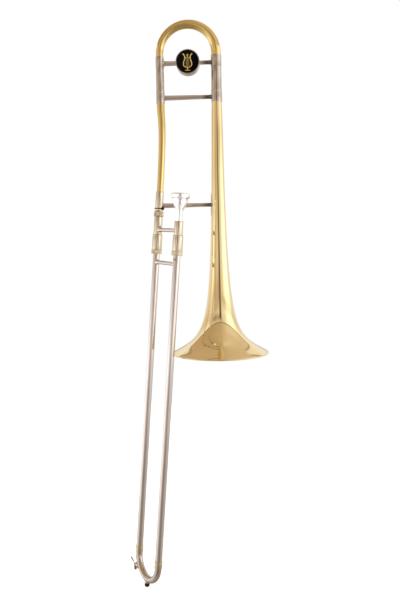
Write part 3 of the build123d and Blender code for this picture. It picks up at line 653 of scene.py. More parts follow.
NUT_TEETH = 36
turned("bell_lock_nut", "lock_nut", LOWER, UP, [
    (TENON_RADIUS + RUNNING_GAP, NUT_BOTTOM),
    (NUT_RADIUS - 1.2, NUT_BOTTOM, 0.5),
    (NUT_RADIUS, NUT_BOTTOM + 1.2, 0.6),
    *[(NUT_RADIUS, height, 0) for height in fine_levels(NUT_BOTTOM + 1.6, NUT_TOP - 3.9, 8)],
    (NUT_RADIUS, NUT_TOP - 3.4, 0.4),
    (NUT_RADIUS - 1.0, NUT_TOP - 2.6, 0.3),
    (NUT_RADIUS - 1.0, NUT_TOP, 0.3),
    (THREAD_RADIUS + RUNNING_GAP, NUT_TOP),
    (THREAD_RADIUS + RUNNING_GAP, -3.0),
    (TENON_RADIUS + RUNNING_GAP, -3.0),
], segments=NUT_TEETH * 8, wobble=knurl(NUT_RADIUS, NUT_BOTTOM + 1.4, NUT_TOP - 3.7, NUT_TEETH, 0.6),
    smooth_angle=50.0)

inner_brace_seats = (COLLAR_RADIUS, MOUTHPIECE_RECEIVER_RADIUS)
for brace_name, body_name, height, tube_radii, top_fillet in (
    ("inner_slide_brace", "inner_slide", INNER_BRACE_HEIGHT, inner_brace_seats, 3.5),
    ("outer_slide_brace", "outer_slide", OUTER_BRACE_HEIGHT, (OUTER_TUBE_RADIUS, OUTER_TUBE_RADIUS), 0.0),
):
    lift = UP * height
    stand_for(brace(brace_name + "_tube", LOWER + lift, UPPER + lift, UP,
                    (SLIDE_BRACE_RADIUS, SLIDE_BRACE_RADIUS), tube_radii, 1.4, 8.0,
                    finish_of(brace_name), top_fillet), body_name, brace_name)

bow_stations = half_turn(bow_middle, SLIDE_DIR, -UP, BOW_RADIUS, (OUTER_TUBE_RADIUS, OUTER_TUBE_RADIUS), 72)
stand_for(tube("slide_bow_bent_tube", bow_stations, OUTER_TUBE_RADIUS - INNER_RADIUS, DULL_NICKEL),
          "outer_slide", "slide_bow")

bumper_axis = SLIDE_DIR * BOW_RADIUS
bumper_base = BOW_CENTRE - BOW_RADIUS - OUTER_TUBE_RADIUS - 1.6
turned("rubber_bumper", "outer_slide", bumper_axis, UP, [
    (0.0, bumper_base),
    (BUMPER_RADIUS - 0.4, bumper_base),
    (BUMPER_RADIUS, bumper_base - 1.0, 0.5),
    (BUMPER_RADIUS - 0.25, (bumper_base + BUMPER_TIP) / 2, 3.0),
    (BUMPER_RADIUS, BUMPER_TIP + 2.2, 1.2),
    (BUMPER_RADIUS - 2.2, BUMPER_TIP, 1.2),
    (0.0, BUMPER_TIP),
])

knob_out = Vector((cos(LOCK_PIN_DIRECTION), sin(LOCK_PIN_DIRECTION), 0.0))
head_low = OUTER_TUBE_RADIUS + 2.5
turned("slide_lock_pin", "outer_slide", UPPER + UP * LOCK_PIN_HEIGHT, knob_out, [
    (0.0, OUTER_TUBE_RADIUS - 0.3),
    (LOCK_PIN_NECK_RADIUS + 0.6, OUTER_TUBE_RADIUS - 0.3),
    (LOCK_PIN_NECK_RADIUS, OUTER_TUBE_RADIUS + 0.9, 0.6),
    (LOCK_PIN_NECK_RADIUS, head_low),
    (LOCK_PIN_RADIUS, head_low, 0.15),
    (LOCK_PIN_RADIUS, head_low + 0.8, 0.4),
    (LOCK_PIN_RADIUS - 0.5, head_low + 1.3, 0.3),
    (0.9, head_low + 1.1),
    (0.0, head_low + 1.1),
], edge=0.1, segments=48, material=DARK_BRASS)


# ---------------- water key
key_side = SLIDE_DIR * -cos(KEY_ANGLE) - UP * sin(KEY_ANGLE)
KEY_NORMAL = key_side * cos(KEY_ROLL) - SLIDE_SIDE * sin(KEY_ROLL)
KEY_DOWN = SLIDE_DIR * sin(KEY_ANGLE) - UP * cos(KEY_ANGLE)
KEY_ACROSS = KEY_NORMAL.cross(KEY_DOWN)
KEY_MIDDLE = bow_middle + key_side * BOW_RADIUS


def key_point(down, out, across=0.0):
    """A point of the water key: down along the bow, out from its centre line, and across."""
    return KEY_MIDDLE + KEY_DOWN * down + KEY_NORMAL * out + KEY_ACROSS * across


PLATE_HALF_WIDTH = 4.5
PLATE_LIFT = 3.9
PLATE_HOLLOW = 0.8


def key_bar(name, stations, material, segments=32):
    """A flat bar with round edges through stations of (down, out, half-width, half-thickness, hollow)."""
    points = []
    rows = [pole_of(points, key_point(*stations[0][:2]), segments)]
    for down, out, half_width, half_thickness, hollow in stations:
        def place(angle):
            across = half_width * copysign(abs(cos(angle)) ** 0.6, cos(angle))
            lift = half_thickness * copysign(abs(sin(angle)) ** 0.8, sin(angle))
            return key_point(down, out + lift + hollow * (across / PLATE_HALF_WIDTH) ** 2, across)
        rows.append(ring_of(points, segments, place))
    rows.append(pole_of(points, key_point(*stations[-1][:2]), segments))
    return make_object(name, points, outward(points, join_rows(rows, closed=False)), material)


# The touch plate, by distance from its middle and half-width, and the arm, by distance down the bow,
# height over the pivot, half-width and half-thickness.
PLATE_OUTLINE = ((-5.9, 0.8), (-5.6, 2.2), (-4.6, 3.5), (-2.8, 4.3), (-0.5, PLATE_HALF_WIDTH), (2.0, 4.1),
                 (4.2, 3.0), (6.0, 2.1))
KEY_ARM = ((-3.0, 1.75, 1.7, 0.8), (-0.5, 1.6, 1.6, 0.9), (2.5, 1.9, 1.6, 0.8), (5.0, 2.9, 1.9, 0.8),
           (7.4, 3.4, 2.1, 0.7), (9.8, 3.5, 1.5, 0.5), (10.4, 3.5, 0.5, 0.2))
bar = []
for from_middle, half_width in PLATE_OUTLINE:
    out = KEY_PIVOT_HEIGHT + PLATE_LIFT - from_middle * tan(KEY_PLATE_SLOPE)
    half_thickness = 0.35 + 0.35 * min(1, 6 - abs(from_middle))
    hollow = PLATE_HOLLOW * half_width / PLATE_HALF_WIDTH
    bar.append((from_middle - KEY_TOUCH_REACH, out, half_width, half_thickness, hollow))
for down, lift, half_width, half_thickness in KEY_ARM:
    bar.append((down, KEY_PIVOT_HEIGHT + lift, half_width, half_thickness, 0.0))
stand_for(key_bar("water_key_lever_bar", bar, KEY_NICKEL), "water_key", "water_key_lever")

cup_foot = key_point(NIPPLE_REACH, 0.0)
cup_low = NIPPLE_TOP + KEY_CORK_THICKNESS
key_cup = lathe("water_key_cup", cup_foot, KEY_NORMAL, rounded([
    (0.0, cup_low - 0.6),
    (KEY_CORK_RADIUS + 0.1, cup_low - 0.6),
    (KEY_CORK_RADIUS + 0.1, cup_low - 1.3),
    (KEY_CUP_RADIUS, cup_low - 1.3),
    (KEY_CUP_RADIUS, cup_low + 0.9, 0.8),
    (KEY_CUP_RADIUS - 1.2, cup_low + 1.9, 0.8),
    (0.0, cup_low + 2.2),
], 0.12), KEY_NICKEL, segments=64)
hub_outline = rounded(pipe_outline(0.8, 1.8, -1.45, 1.45), 0.2)
key_hub = lathe("water_key_hub", key_point(0.0, KEY_PIVOT_HEIGHT), KEY_ACROSS, hub_outline, KEY_NICKEL, 48)
for piece in (key_cup, key_hub):
    ride_along(piece, "water_key")

turned("water_key_cork", "water_key", cup_foot, KEY_NORMAL, [
    (0.0, NIPPLE_TOP + 0.02),
    (KEY_CORK_RADIUS - 0.1, NIPPLE_TOP + 0.02, 0.4),
    (KEY_CORK_RADIUS, NIPPLE_TOP + 1.2, 0.8),
    (KEY_CORK_RADIUS, cup_low - 0.5),
    (0.0, cup_low - 0.5),
], segments=64, wobble=lambda angle, radius, height: 0.04 * sin(5 * angle) * sin(3 * angle + 1))
turned("water_key_nipple", "outer_slide", cup_foot, KEY_NORMAL, [
    (NIPPLE_HOLE_RADIUS, 5.5),
    (NIPPLE_RADIUS + 0.9, 5.5),
    (NIPPLE_RADIUS, 8.2, 1.2),
    (NIPPLE_RADIUS, NIPPLE_TOP, 0.3),
    (NIPPLE_HOLE_RADIUS, NIPPLE_TOP, 0.3),
], edge=0.2, segments=64)
COIL_RADIUS = 1.65
COIL_START = 1.65
COIL_PITCH = 0.25
COIL_TURNS = 3
coil_wires = []
for hand in (-1, 1):
    coil = [key_point(6.5, KEY_PIVOT_HEIGHT + 1.0, hand * 1.2)]
    coil.append(key_point(2.5, KEY_PIVOT_HEIGHT + 0.9, hand * 1.6))
    for turn in fine_levels(0.0, COIL_TURNS, 60):
        angle = radians(60) - turn * 2 * pi
        out = KEY_PIVOT_HEIGHT + COIL_RADIUS * sin(angle)
        across = hand * (COIL_START + COIL_PITCH * turn)
        coil.append(key_point(COIL_RADIUS * cos(angle), out, across))
    coil.append(key_point(-3.6, 8.3, hand * 2.2))
    coil_wires.append((coil, 0.25))
stand_for(wires("water_key_spring_coils", coil_wires, finish_of("water_key_spring")), "outer_slide",
          "water_key_spring")

# ---------------- mouthpiece
# The cup and rim, and the shoulder under the rim, by radius and drop from the top.
CUP_LINE = ((THROAT_RADIUS, 38), (THROAT_RADIUS, 32), (5.6, 26.5), (9.2, 20), (CUP_RADIUS - 1.6, 12.5),
            (CUP_RADIUS - 0.3, 5), (CUP_RADIUS, 2.2), (CUP_RADIUS + 0.9, 0.5), (CUP_RADIUS + 2.8, 0),
            (RIM_RADIUS - 1.4, 0.7), (RIM_RADIUS - 0.15, 2.0), (RIM_RADIUS, 3.6))
SHOULDER_LINE = ((RIM_RADIUS - 0.3, 7.4), (RIM_RADIUS - 1.4, 9.4), (15.8, 11.6), (14.8, 14.5), (14.2, 18),
                 (13.2, 22), (11.4, 26.5), (9.0, 30.5), (7.4, 33.2), (6.6, 36))
cup, shoulder = (curve_points([(radius, RIM_TOP - drop) for radius, drop in line], 6)
                 for line in (CUP_LINE, SHOULDER_LINE))
mouthpiece_outline = cup + shoulder + [
    (SHANK_MOUTH_RADIUS + 0.15, SHANK_MOUTH + 1.2),
    (SHANK_MOUTH_RADIUS, SHANK_MOUTH + 0.6),
    (SHANK_END_RADIUS, SHANK_END),
    (SHANK_END_RADIUS - 0.8, SHANK_END),
]
stand_for(lathe("mouthpiece_turned", UPPER, UP, mouthpiece_outline, finish_of("mouthpiece"), segments=128),
          "mouthpiece", "mouthpiece")


# ---------------- bell
BELL_STATIONS = 140
STATION_CROWDING = 2.3
STEM_END = BELL_LENGTH + LOWER_FERRULE_BOTTOM
STEM_DRAW_LENGTH = 60.0
SLOPE_STEP = 0.05


def flare_radius(distance):
    """Outer radius of the bell's flare at a distance from its rim, without the roll of its lip."""
    reach = BELL_MOUTH_RADIUS - BELL_STEM_RADIUS + LIP_DEPTH
    return BELL_STEM_RADIUS + reach * (FLARE_LENGTH / (distance + FLARE_LENGTH)) ** FLARE_POWER


def bell_radius(distance):
    """Outer radius of the bell at a distance from its rim, with its lip and its stem's drawn end."""
    radius = flare_radius(distance) - LIP_DEPTH * exp(-distance / LIP_LENGTH)
    draw_in = max(0.0, (distance - STEM_END + STEM_DRAW_LENGTH) / STEM_DRAW_LENGTH)
    return radius + min(draw_in, 1.0) ** 2 * (BELL_END_RADIUS - flare_radius(STEM_END))


outer_line = []
inner_line = []
for step in range(BELL_STATIONS + 1):
    distance = STEM_END * (step / BELL_STATIONS) ** STATION_CROWDING
    radius = bell_radius(distance)
    height = distance - BELL_LENGTH
    lean = atan((bell_radius(distance + SLOPE_STEP) - radius) / SLOPE_STEP)
    outer_line.append((radius, height))
    inner_line.append((radius - BELL_WALL * cos(lean), height + BELL_WALL * sin(lean)))
socket_end = LOWER_FERRULE_BOTTOM + SOCKET_DEPTH
bell_outline = outer_line + [(BELL_END_RADIUS, socket_end), (BELL_END_RADIUS - BELL_WALL, socket_end)]
bell_outline += inner_line[::-1]
bell_sheet = lathe("bell_sheet", BELL_LEG, BELL_UP, bell_outline, finish_of("bell"), 192, smooth_angle=60.0)
stand_for(bell_sheet, "bell_section", "bell")

BEAD_STEPS = 20
BEAD_STANDOUT = 0.09
BEAD_LIFT = 0.1
bead_outline = []
for step in range(BEAD_STEPS):
    angle = 2 * pi * step / BEAD_STEPS
    bead_outline.append((BELL_MOUTH_RADIUS - BEAD_RADIUS + BEAD_STANDOUT + BEAD_RADIUS * cos(angle),
                         BEAD_LIFT - BELL_LENGTH + BEAD_RADIUS * sin(angle)))
bead = lathe("bell_rim_rolled_bead", BELL_LEG, BELL_UP, bead_outline, finish_of("bell_rim_bead"), 224)
stand_for(bead, "bell_section", "bell_rim_bead")

# ---------------- gooseneck and receiver
neck_high = NECK_LEG + BELL_UP * LOWER_FERRULE_BOTTOM
neck_low = UP * RECEIVER_TOP
neck_corners = (neck_low, neck_low + UP * NECK_LOW_HOLD, neck_high - BELL_UP * NECK_HIGH_HOLD, neck_high)
NECK_STEPS = 64
neck_stations = []
for step in range(-1, NECK_STEPS + 2):
    share = min(max(step / NECK_STEPS, 0.0), 1.0)
    rest = 1 - share
    first, second, third, fourth = neck_corners
    centre = first * rest ** 3 + second * 3 * rest * rest * share + third * 3 * rest * share ** 2
    centre += fourth * share ** 3
    onward = ((second - first) * rest * rest + (third - second) * 2 * rest * share
              + (fourth - third) * share * share).normalized()
    steps_beyond = step - share * NECK_STEPS
    centre += onward * (steps_beyond * SOCKET_DEPTH)
    widened = (NECK_TOP_RADIUS - NECK_RADIUS) * share ** NECK_TAPER
    neck_stations.append((centre, onward, Vector((0.0, 1.0, 0.0)).cross(onward), NECK_RADIUS + widened))
stand_for(tube("gooseneck_drawn_tube", neck_stations, BELL_WALL, CROOK_BRASS),
          "bell_section", "gooseneck")

turned("neck_receiver", "bell_section", LOWER, UP, [
    (TENON_RADIUS + RUNNING_GAP, -2.0),
    (THREAD_RADIUS, -2.0),
    (THREAD_RADIUS, RECEIVER_BOTTOM),
    (RECEIVER_RADIUS, RECEIVER_BOTTOM),
    *groove_line(RECEIVER_RADIUS, RECEIVER_TOP - 1.8, RECEIVER_TOP - 1.2),
    (RECEIVER_RADIUS, RECEIVER_TOP - 0.4),
    (NECK_RADIUS, RECEIVER_TOP),
    (NECK_RADIUS, 34.0),
    (TENON_RADIUS + RUNNING_GAP, 34.0),
], material=WARM_NICKEL)

turned("neck_ring", "bell_section", LOWER, UP, [
    (RECEIVER_RADIUS, NECK_RING_BOTTOM),
    (NECK_RING_RADIUS, NECK_RING_BOTTOM, 0.5),
    (NECK_RING_RADIUS, RECEIVER_BOTTOM, 0.5),
    (RECEIVER_RADIUS, RECEIVER_BOTTOM),
])
neck_knob_out = Vector((cos(NECK_KNOB_DIRECTION), sin(NECK_KNOB_DIRECTION), 0.0))
neck_knob = lathe("neck_ring_knob", UP * (NECK_RING_BOTTOM + RECEIVER_BOTTOM) / 2, neck_knob_out, rounded([
    (0.0, RECEIVER_RADIUS + 0.4),
    (NECK_KNOB_RADIUS - 0.2, RECEIVER_RADIUS + 0.4),
    (NECK_KNOB_RADIUS, NECK_RING_RADIUS + 0.3, 0.3),
    (NECK_KNOB_RADIUS, NECK_KNOB_REACH - 0.5, 0.4),
    (NECK_KNOB_RADIUS - 0.5, NECK_KNOB_REACH, 0.4),
    (0.0, NECK_KNOB_REACH),
], 0.2), finish_of("neck_ring"), segments=48)
ride_along(neck_knob, "bell_section")

# ---------------- tuning slide and its sleeves
crook_radii = (CROOK_NECK_RADIUS, CROOK_BELL_RADIUS)
crook_stations = [(NECK_LEG + BELL_UP * height, BELL_UP, -BELL_ACROSS, CROOK_NECK_RADIUS)
                  for height in (CROOK_END, 0.0)]
crook_stations += half_turn(CROOK_MIDDLE, BELL_ACROSS, BELL_UP, LEG_SPACING / 2, crook_radii, 96)[1:-1]
for height in (0.0, CROOK_END):
    crook_stations.append((BELL_LEG + BELL_UP * height, -BELL_UP, BELL_ACROSS, CROOK_BELL_RADIUS))
crook = tube("tuning_crook_bent_tube", crook_stations, TUNING_WALL, CROOK_BRASS)
stand_for(crook, "tuning_slide", "tuning_crook")

legs = {
    "neck": (NECK_LEG, CROOK_NECK_RADIUS, NECK_TOP_RADIUS),
    "bell": (BELL_LEG, CROOK_BELL_RADIUS, BELL_END_RADIUS),
}
upper_ferrules = []
lower_ferrules = []
socket_top = LOWER_FERRULE_BOTTOM + SOCKET_DEPTH
for leg_name, (leg_origin, leg_radius, stem_radius) in legs.items():
    sleeve_bore = leg_radius + RUNNING_GAP
    sleeve_radius = sleeve_bore + TUNING_WALL
    upper_radius = sleeve_radius + 0.3
    lower_radius = max(sleeve_radius, stem_radius) + 0.45
    upper_ferrules.append(upper_radius)
    lower_ferrules.append(lower_radius)
    turned(f"crook_ferrule_{leg_name}", "tuning_slide", leg_origin, BELL_UP, [
        (leg_radius, FERRULE_BOTTOM),
        (upper_radius, FERRULE_BOTTOM),
        *groove_line(upper_radius, FERRULE_BOTTOM + 1.4, FERRULE_BOTTOM + 2.0),
        (upper_radius, FERRULE_TOP - 0.3),
        (sleeve_radius - 0.3, FERRULE_TOP),
        (leg_radius, FERRULE_TOP),
    ], edge=0.2, material=DULL_NICKEL)
    pipe = pipe_outline(sleeve_bore, sleeve_radius, socket_top + 0.5, FERRULE_BOTTOM - 0.1)
    turned(f"tuning_sleeve_{leg_name}", "bell_section", leg_origin, BELL_UP, pipe, 0.15, DULL_NICKEL)
    turned(f"sleeve_ferrule_{leg_name}", "bell_section", leg_origin, BELL_UP, [
        (stem_radius, LOWER_FERRULE_BOTTOM),
        (lower_radius, LOWER_FERRULE_BOTTOM),
        *groove_line(lower_radius, LOWER_FERRULE_TOP - 2.0, LOWER_FERRULE_TOP - 1.4),
        (lower_radius, LOWER_FERRULE_TOP),
        (sleeve_radius, LOWER_FERRULE_TOP),
        (sleeve_radius, socket_top + 0.25),
        (stem_radius, socket_top + 0.25),
    ], edge=0.2, material=DULL_NICKEL)

# The braces' ends at the bell get painted shade, a painted dark reflection, over the run given in
# millimetres.
for brace_name, body_name, height, ferrules, painted_shade_run in (
    ("tuning_slide_brace", "tuning_slide", UPPER_BRACE_HEIGHT, upper_ferrules, (70.0, 80.0)),
    ("bell_section_brace", "bell_section", LOWER_BRACE_HEIGHT, lower_ferrules, (75.0, 86.0)),
):
    lift = BELL_UP * height
    stand_for(brace(brace_name + "_tube", NECK_LEG + lift, BELL_LEG + lift, BELL_UP, LEG_BRACE_RADII,
                    ferrules, 0.8, 6.0, nickel_with_painted_shade(*painted_shade_run)),
              body_name, brace_name)

# ---------------- bell brace
brace_start = UP * MAIN_BRACE_HEIGHT
brace_run = BELL_LEG.x + (BELL_LEG.z - MAIN_BRACE_HEIGHT) * tan(BELL_TILT)
brace_end = brace_start + BELL_ACROSS * (brace_run * cos(BELL_TILT))
brace_station = BELL_LENGTH + (brace_end - BELL_LEG).dot(BELL_UP)
flange_outer = bell_radius(brace_station) + FLANGE_GAP + FLANGE_THICKNESS
# The bell brace's end at the flange gets painted shade, a painted dark reflection.
stand_for(brace("bell_brace_tube", brace_start, brace_end, BELL_UP, MAIN_BRACE_RADII,
                (RECEIVER_RADIUS, flange_outer), 0.6, 5.0, nickel_with_painted_shade(88.0, 104.0)),
          "bell_section", "bell_brace")

# The flange is an oval plate curved round the stem, thinning to its edge.
FLANGE_RINGS = 10
FLANGE_POINTS = 64
FLANGE_THINNING = 0.65


def flange_point(share, thickness, angle):
    """A point of the flange: a share of the way to its edge, and as far off its underside as thickness."""
    along = share * FLANGE_LENGTH / 2 * cos(angle)
    lateral = share * FLANGE_WIDTH / 2 * sin(angle)
    radius = bell_radius(brace_station + along) + FLANGE_GAP + thickness
    swing = lateral / radius
    foot = BELL_LEG + BELL_UP * (brace_station + along - BELL_LENGTH)
    return foot - BELL_ACROSS * (radius * cos(swing)) + FRONT * (radius * sin(swing))


points = []
rows = []
edge_to_middle = fine_levels(1.0, 0.0, FLANGE_RINGS)[:-1]
for share in edge_to_middle:
    rows.append(ring_of(points, FLANGE_POINTS, lambda angle: flange_point(share, 0.0, angle)))
for thickness in (0.0, FLANGE_THICKNESS):
    rows.append(pole_of(points, flange_point(0.0, thickness, 0.0), FLANGE_POINTS))
for share in edge_to_middle[::-1]:
    thickness = FLANGE_THICKNESS * (1 - FLANGE_THINNING * share ** 3)
    rows.append(ring_of(points, FLANGE_POINTS, lambda angle: flange_point(share, thickness, angle)))
flange_faces = join_rows(rows[::-1], closed=False)
stand_for(make_object("bell_brace_flange_plate", points, outward(points, flange_faces),
                      finish_of("bell_brace_flange")), "bell_section", "bell_brace_flange")

# ---------------- balance weight
weight_middle = CROOK_MIDDLE + BELL_UP * UPPER_BRACE_HEIGHT
turned("balance_weight", "tuning_slide", weight_middle, FRONT, [
    (0.0, WEIGHT_BACK),
    (WEIGHT_RADIUS, WEIGHT_BACK, 1.6),
    *groove_line(WEIGHT_RADIUS, 1.2, 1.8, 0.3),
    (WEIGHT_RADIUS, WEIGHT_FRONT, 1.2),
    (FACE_RADIUS, WEIGHT_FRONT, 0.3),
    (FACE_RADIUS, WEIGHT_FRONT - FACE_DEPTH),
    (0.0, WEIGHT_FRONT - FACE_DEPTH),
], segments=128, material=DULL_NICKEL)
FACE_CROWN = 0.35
FACE_SETBACK = 0.3
face_front = WEIGHT_FRONT - FACE_SETBACK
face_arc = [(FACE_RADIUS * share, face_front - FACE_CROWN * share ** 2, 0)
            for share in fine_levels(1.0, 0.0, 8)]
turned("balance_weight_face", "tuning_slide", weight_middle, FRONT, [
    (0.0, WEIGHT_FRONT - FACE_DEPTH),
    (FACE_RADIUS, WEIGHT_FRONT - FACE_DEPTH),
    *face_arc,
], segments=128)


# A lyre in round wires: each stroke is its points, across and up, and its half-width.
lyre = [([(-6.8, 8.0), (6.8, 8.0)], 0.85), ([(-5.6, -18.0), (5.6, -18.0)], 1.1),
        ([(0.0, -18.0), (0.0, -13.0)], 1.3), ([(0.0, 8.0), (0.0, 12.0)], 0.85)]
for hand in (-1, 1):
    arm = curve_points([(0, -13.5), (hand * 7.4, -9), (hand * 8.2, -1.5), (hand * 5.4, 7), (hand * 8.0, 15),
                        (hand * 10.4, 14.5)], 8)
    lyre.append((arm, 1.0))
for across in (-2.7, 0.0, 2.7):
    lyre.append(([(across, -12.6), (across, 8.0)], 0.4))
ball = [(1.2 * cos(angle), 13.0 + 1.2 * sin(angle))
        for angle in fine_levels(0.0, 2 * pi, 16)]
lyre.append((ball, 0.8))
lyre = [([BELL_ACROSS * across + BELL_UP * height for across, height in stroke], half_width)
        for stroke, half_width in lyre]
emblem = wires("balance_weight_lyre", lyre, finish_of("balance_weight_emblem"))
flattened = Matrix.Diagonal((1.0, 0.45, 1.0, 1.0))
emblem.data.transform(Matrix.Translation((weight_middle + FRONT * face_front) * MM) @ flattened)
stand_for(emblem, "tuning_slide", "balance_weight_emblem")

# ---------------- camera
camera_data = bpy.data.cameras.new("camera")
camera_data.sensor_width = 36.0
camera_data.lens = 39.69
camera_data.shift_x = 0.0003
camera_data.shift_y = -0.0051
camera_data.clip_end = 50.0
camera = bpy.data.objects.new("camera", camera_data)
bpy.context.scene.collection.objects.link(camera)
view_dir = Vector((-0.0422, 0.9959, -0.0796)).normalized()
view_up = Vector((-0.066, 0.0767, 0.9949))
view_right = view_dir.cross(view_up).normalized()
view_up = view_right.cross(view_dir)
camera.matrix_world = Matrix.Translation(Vector((157.6, -1406.6, -59.3)) * MM) @ Matrix(
    (view_right, view_up, -view_dir)).transposed().to_4x4()
bpy.context.scene.camera = camera

# ---------------- studio
scene = bpy.context.scene
scene.view_settings.view_transform = "Standard"
scene.view_settings.look = "None"

# The studio as the metal sees it. Each band is an elevation in degrees, how warm its dim light is, and the
# brightness round the instrument by compass direction: degrees from the camera, negative to the left.
# Softboxes stand at both sides, a dark gap is where the photographer is, and dark frames edge the ceiling.
CEILING_EDGE = {-180: 1.0, -152: 0.98, -150: 0.28, -148: 0.6, -100: 0.54, -60: 0.54, 0: 0.62, 20: 0.74,
                45: 0.88, 90: 0.9, 130: 0.8, 148: 0.78, 150: 0.28, 152: 0.98}
STUDIO_BANDS = [
    (-70, 0.7, {-180: 0.5, 0: 0.5}),
    (-40, 0.5, {-180: 0.45, -135: 0.5, -105: 0.8, -88: 0.84, -60: 0.58, -30: 0.37, 0: 0.27, 24: 0.27,
        60: 0.52, 90: 0.6, 150: 0.5}),
    (-25, 0.5, {-180: 0.5, -135: 0.75, -105: 1.15, -88: 1.2, -60: 0.88, -30: 0.47, -6: 0.34, 10: 0.34,
        30: 0.45, 60: 0.62, 90: 0.72, 150: 0.6}),
    (-15, 0.35, {-180: 0.5, -140: 0.95, -105: 1.5, -88: 1.55, -60: 1.15, -30: 0.62, -8: 0.44, 8: 0.44,
        30: 0.75, 60: 1.0, 105: 0.9, 150: 0.6}),
    (-6, 0.35, {-180: 0.5, -150: 1.0, -120: 1.4, -105: 1.75, -88: 1.75, -60: 1.45, -30: 0.85, -8: 0.58,
        4: 0.55, 12: 0.9, 30: 1.2, 45: 1.55, 60: 1.7, 80: 1.4, 105: 1.3, 130: 0.9, 160: 0.6}),
    (3, 1.0, {-180: 0.9, -172: 0.4, -164: 0.95, -122: 0.9, -106: 0.95, -86: 1.1, -77: 1.5, -68: 1.25,
        -60: 1.0, -50: 0.82, -46: 0.48, -42: 0.85, -20: 1.0, -9: 0.52, -4: 0.17, 5: 0.17, 12: 0.95, 30: 1.0,
        37: 1.05, 40: 0.7, 44: 1.7, 60: 2.2, 92: 2.1, 104: 1.3, 122: 0.95, 164: 0.95, 172: 0.4}),
    (8, 1.1, {-180: 0.9, -130: 0.8, -106: 0.82, -86: 1.0, -60: 0.8, -46: 0.48, -40: 0.72, -10: 0.56,
        -4: 0.16, 5: 0.16, 12: 0.88, 30: 0.92, 44: 1.35, 60: 1.75, 90: 1.6, 108: 0.95, 130: 0.88,
        164: 0.9}),
    (11, 1.25, {-180: 0.95, -130: 0.78, -106: 0.76, -86: 0.95, -60: 0.9, -46: 0.62, -30: 0.66, -10: 0.58,
        -4: 0.19, 5: 0.19, 12: 0.78, 30: 0.74, 44: 0.78, 60: 1.25, 90: 1.25, 108: 0.85, 130: 0.82,
        164: 0.92}),
    (14, 1.25, {-180: 0.97, -130: 0.8, -106: 0.78, -86: 0.9, -60: 0.92, -46: 0.62, -30: 0.68, -10: 0.75,
        -4: 0.19, 5: 0.19, 12: 0.92, 30: 0.92, 44: 0.95, 60: 1.3, 90: 1.3, 108: 0.95, 130: 0.85,
        164: 0.95}),
    (17, 1.15, {-180: 1.0, -130: 0.88, -106: 0.78, -86: 0.85, -60: 0.68, -30: 0.76, -10: 0.9, -4: 0.17,
        5: 0.17, 12: 1.0, 30: 1.0, 44: 1.2, 60: 1.7, 90: 1.7, 108: 1.1, 130: 1.0, 164: 1.0}),
    (22, 1.0, {-180: 1.0, -130: 1.0, -106: 1.0, -86: 1.0, -70: 0.68, -40: 0.36, -28: 0.5, -10: 0.55,
        -4: 0.13, 5: 0.13, 12: 0.92, 30: 0.9, 44: 1.15, 60: 1.75, 90: 1.7, 108: 1.2, 130: 1.05, 164: 1.0}),
    (27.6, 1.0, {-180: 1.0, -130: 1.0, -106: 1.05, -86: 1.1, -70: 0.85, -20: 0.72, 12: 0.7, 44: 1.2,
        60: 1.5, 90: 1.45, 108: 1.2, 130: 1.05, 164: 1.0}),
    (29, 1.0, {-180: 1.0, -152: 0.98, -149: 0.24, 149: 0.24, 152: 0.98}),
    (30.4, 1.5, CEILING_EDGE),
    (44, 1.5, CEILING_EDGE),
    (49, 1.5, {-180: 0.64, -100: 0.56, -60: 0.56, 0: 0.64, 20: 0.74, 60: 0.82, 100: 0.82, 140: 0.76}),
]
DIM_LEVEL = 0.5
BRIGHT_LEVEL = 1.1
DIM_WARMTH = (0.0, 0.17, 0.34)
BRIGHTEST = 2.2
STUDIO_TILT = 0.075


def add_math(tree, operation, *values):
    """A math node on sockets or plain numbers."""
    return add_node(tree, "Math", dict(enumerate(values)), operation=operation).outputs["Value"]


def light_color(level, warmth):
    """A brightness as a ramp colour: dim light is warmer, as it comes off wood and cloth."""
    dimness = min(max((BRIGHT_LEVEL - level) / (BRIGHT_LEVEL - DIM_LEVEL), 0.0), 1.0)
    return (*[level / BRIGHTEST * (1 - warmth * dimness * loss) for loss in DIM_WARMTH], 1.0)


def brightness_round(tree, compass, stops, warmth):
    """Brightness by compass direction, which runs from 0 to 1 once round from behind."""
    node = add_node(tree, "ValToRGB", {"Fac": compass})
    ramp = node.color_ramp
    while len(ramp.elements) > 1:
        ramp.elements.remove(ramp.elements[-1])
    ramp.elements[0].position = 0.0
    ramp.elements[0].color = light_color(stops[-180], warmth)
    for degrees, level in [*stops.items(), (180, stops[-180])][1:]:
        ramp.elements.new((degrees + 180) / 360).color = light_color(level, warmth)
    return node.outputs["Color"]


def part_way(tree, value, low_degrees, high_degrees):
    """How far a sine of an elevation is between two elevations, eased."""
    low, high = sin(radians(low_degrees)), sin(radians(high_degrees))
    return remap(tree, value, 0.0, 1.0, low, high, interpolation_type="SMOOTHSTEP")


world = bpy.data.worlds.new("studio")
scene.world = world
world.use_nodes = True
sky = world.node_tree
looking = add_node(sky, "SeparateXYZ", {"Vector": add_node(sky, "TexCoord").outputs["Generated"]}).outputs
to_camera = atan2(-view_dir.x, view_dir.y)
bearing = add_math(sky, "ARCTAN2", looking["X"], add_math(sky, "MULTIPLY", looking["Y"], -1.0))
bearing = add_math(sky, "SUBTRACT", bearing, to_camera)
compass = add_math(sky, "FRACT", add_math(sky, "ADD", add_math(sky, "DIVIDE", bearing, 2 * pi), 1.5))
height = add_math(sky, "SUBTRACT", looking["Z"], add_math(sky, "MULTIPLY", looking["X"], STUDIO_TILT))
all_round = brightness_round(sky, compass, STUDIO_BANDS[0][2], STUDIO_BANDS[0][1])
for (low_degrees, *_), (high_degrees, warmth, stops) in zip(STUDIO_BANDS, STUDIO_BANDS[1:]):
    band_light = brightness_round(sky, compass, stops, warmth)
    all_round = blend_colors(sky, part_way(sky, height, low_degrees, high_degrees), all_round, band_light)
inputs = {0: all_round, "Scale": BRIGHTEST}
brighter = add_node(sky, "VectorMath", inputs, operation="SCALE").outputs["Vector"]
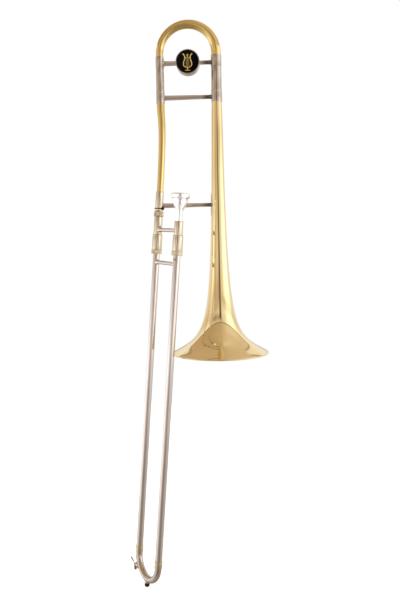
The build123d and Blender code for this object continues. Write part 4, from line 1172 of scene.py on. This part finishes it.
seen_straight = add_node(sky, "LightPath").outputs["Is Camera Ray"]
backdrop = blend_colors(sky, seen_straight, brighter, (1.0, 1.0, 1.0, 1.0))
sky.links.new(backdrop, sky.nodes["Background"].inputs["Color"])

# Two fill cards on either side of the camera whiten the mouthpiece, and light nothing else.
lit_by_cards = bpy.data.collections.new("lit by the fill cards")
lit_by_cards.objects.link(bpy.data.objects["mouthpiece_turned"])
cup_middle = UPPER + UP * (RIM_TOP - 20)
CARD_DISTANCE = 700.0
CARD_SIZE = 1.0
CARD_DROP = radians(30)
for card_name, turn, card_level in (("left", -56, 0.42), ("right", 56, 0.6)):
    card_data = bpy.data.lights.new(f"fill card {card_name}", "AREA")
    card_data.size = CARD_SIZE
    card_data.energy = card_level * pi * CARD_SIZE ** 2
    card = bpy.data.objects.new(card_data.name, card_data)
    scene.collection.objects.link(card)
    heading = to_camera + radians(turn)
    sideways = cos(CARD_DROP)
    away = Vector((sin(heading) * sideways, -cos(heading) * sideways, -sin(CARD_DROP)))
    card.matrix_world = Matrix.Translation((cup_middle + away * CARD_DISTANCE) * MM) @ (
        away.to_track_quat("Z", "Y").to_matrix().to_4x4())
    card.visible_camera = False
    card.light_linking.receiver_collection = lit_by_cards

# A pale floor, lit evenly enough to run into the white backdrop. It lies just under the bumper's lowest
# place, with the hand slide run right out.
FLOOR_HALF = 4000.0
SLIDE_TRAVEL = 600.0
FLOOR_GAP = 0.3
floor_material, floor_tree, floor_shader = new_material("pale floor")
fill_inputs(floor_tree, floor_shader, {
    "Base Color": mottled(floor_tree, 3.0, 2.0, (0.86, 0.86, 0.86), (0.88, 0.88, 0.88)),
    "Roughness": 0.8,
    "Emission Color": (1.0, 1.0, 1.0, 1.0),
    "Emission Strength": 0.6,
})
floor_height = BUMPER_TIP - SLIDE_TRAVEL - FLOOR_GAP
corners = [(x * FLOOR_HALF, y * FLOOR_HALF, floor_height) for x, y in ((-1, -1), (1, -1), (1, 1), (-1, 1))]
floor = make_object("floor", corners, [[0, 1, 2, 3]], floor_material)
floor.visible_glossy = False
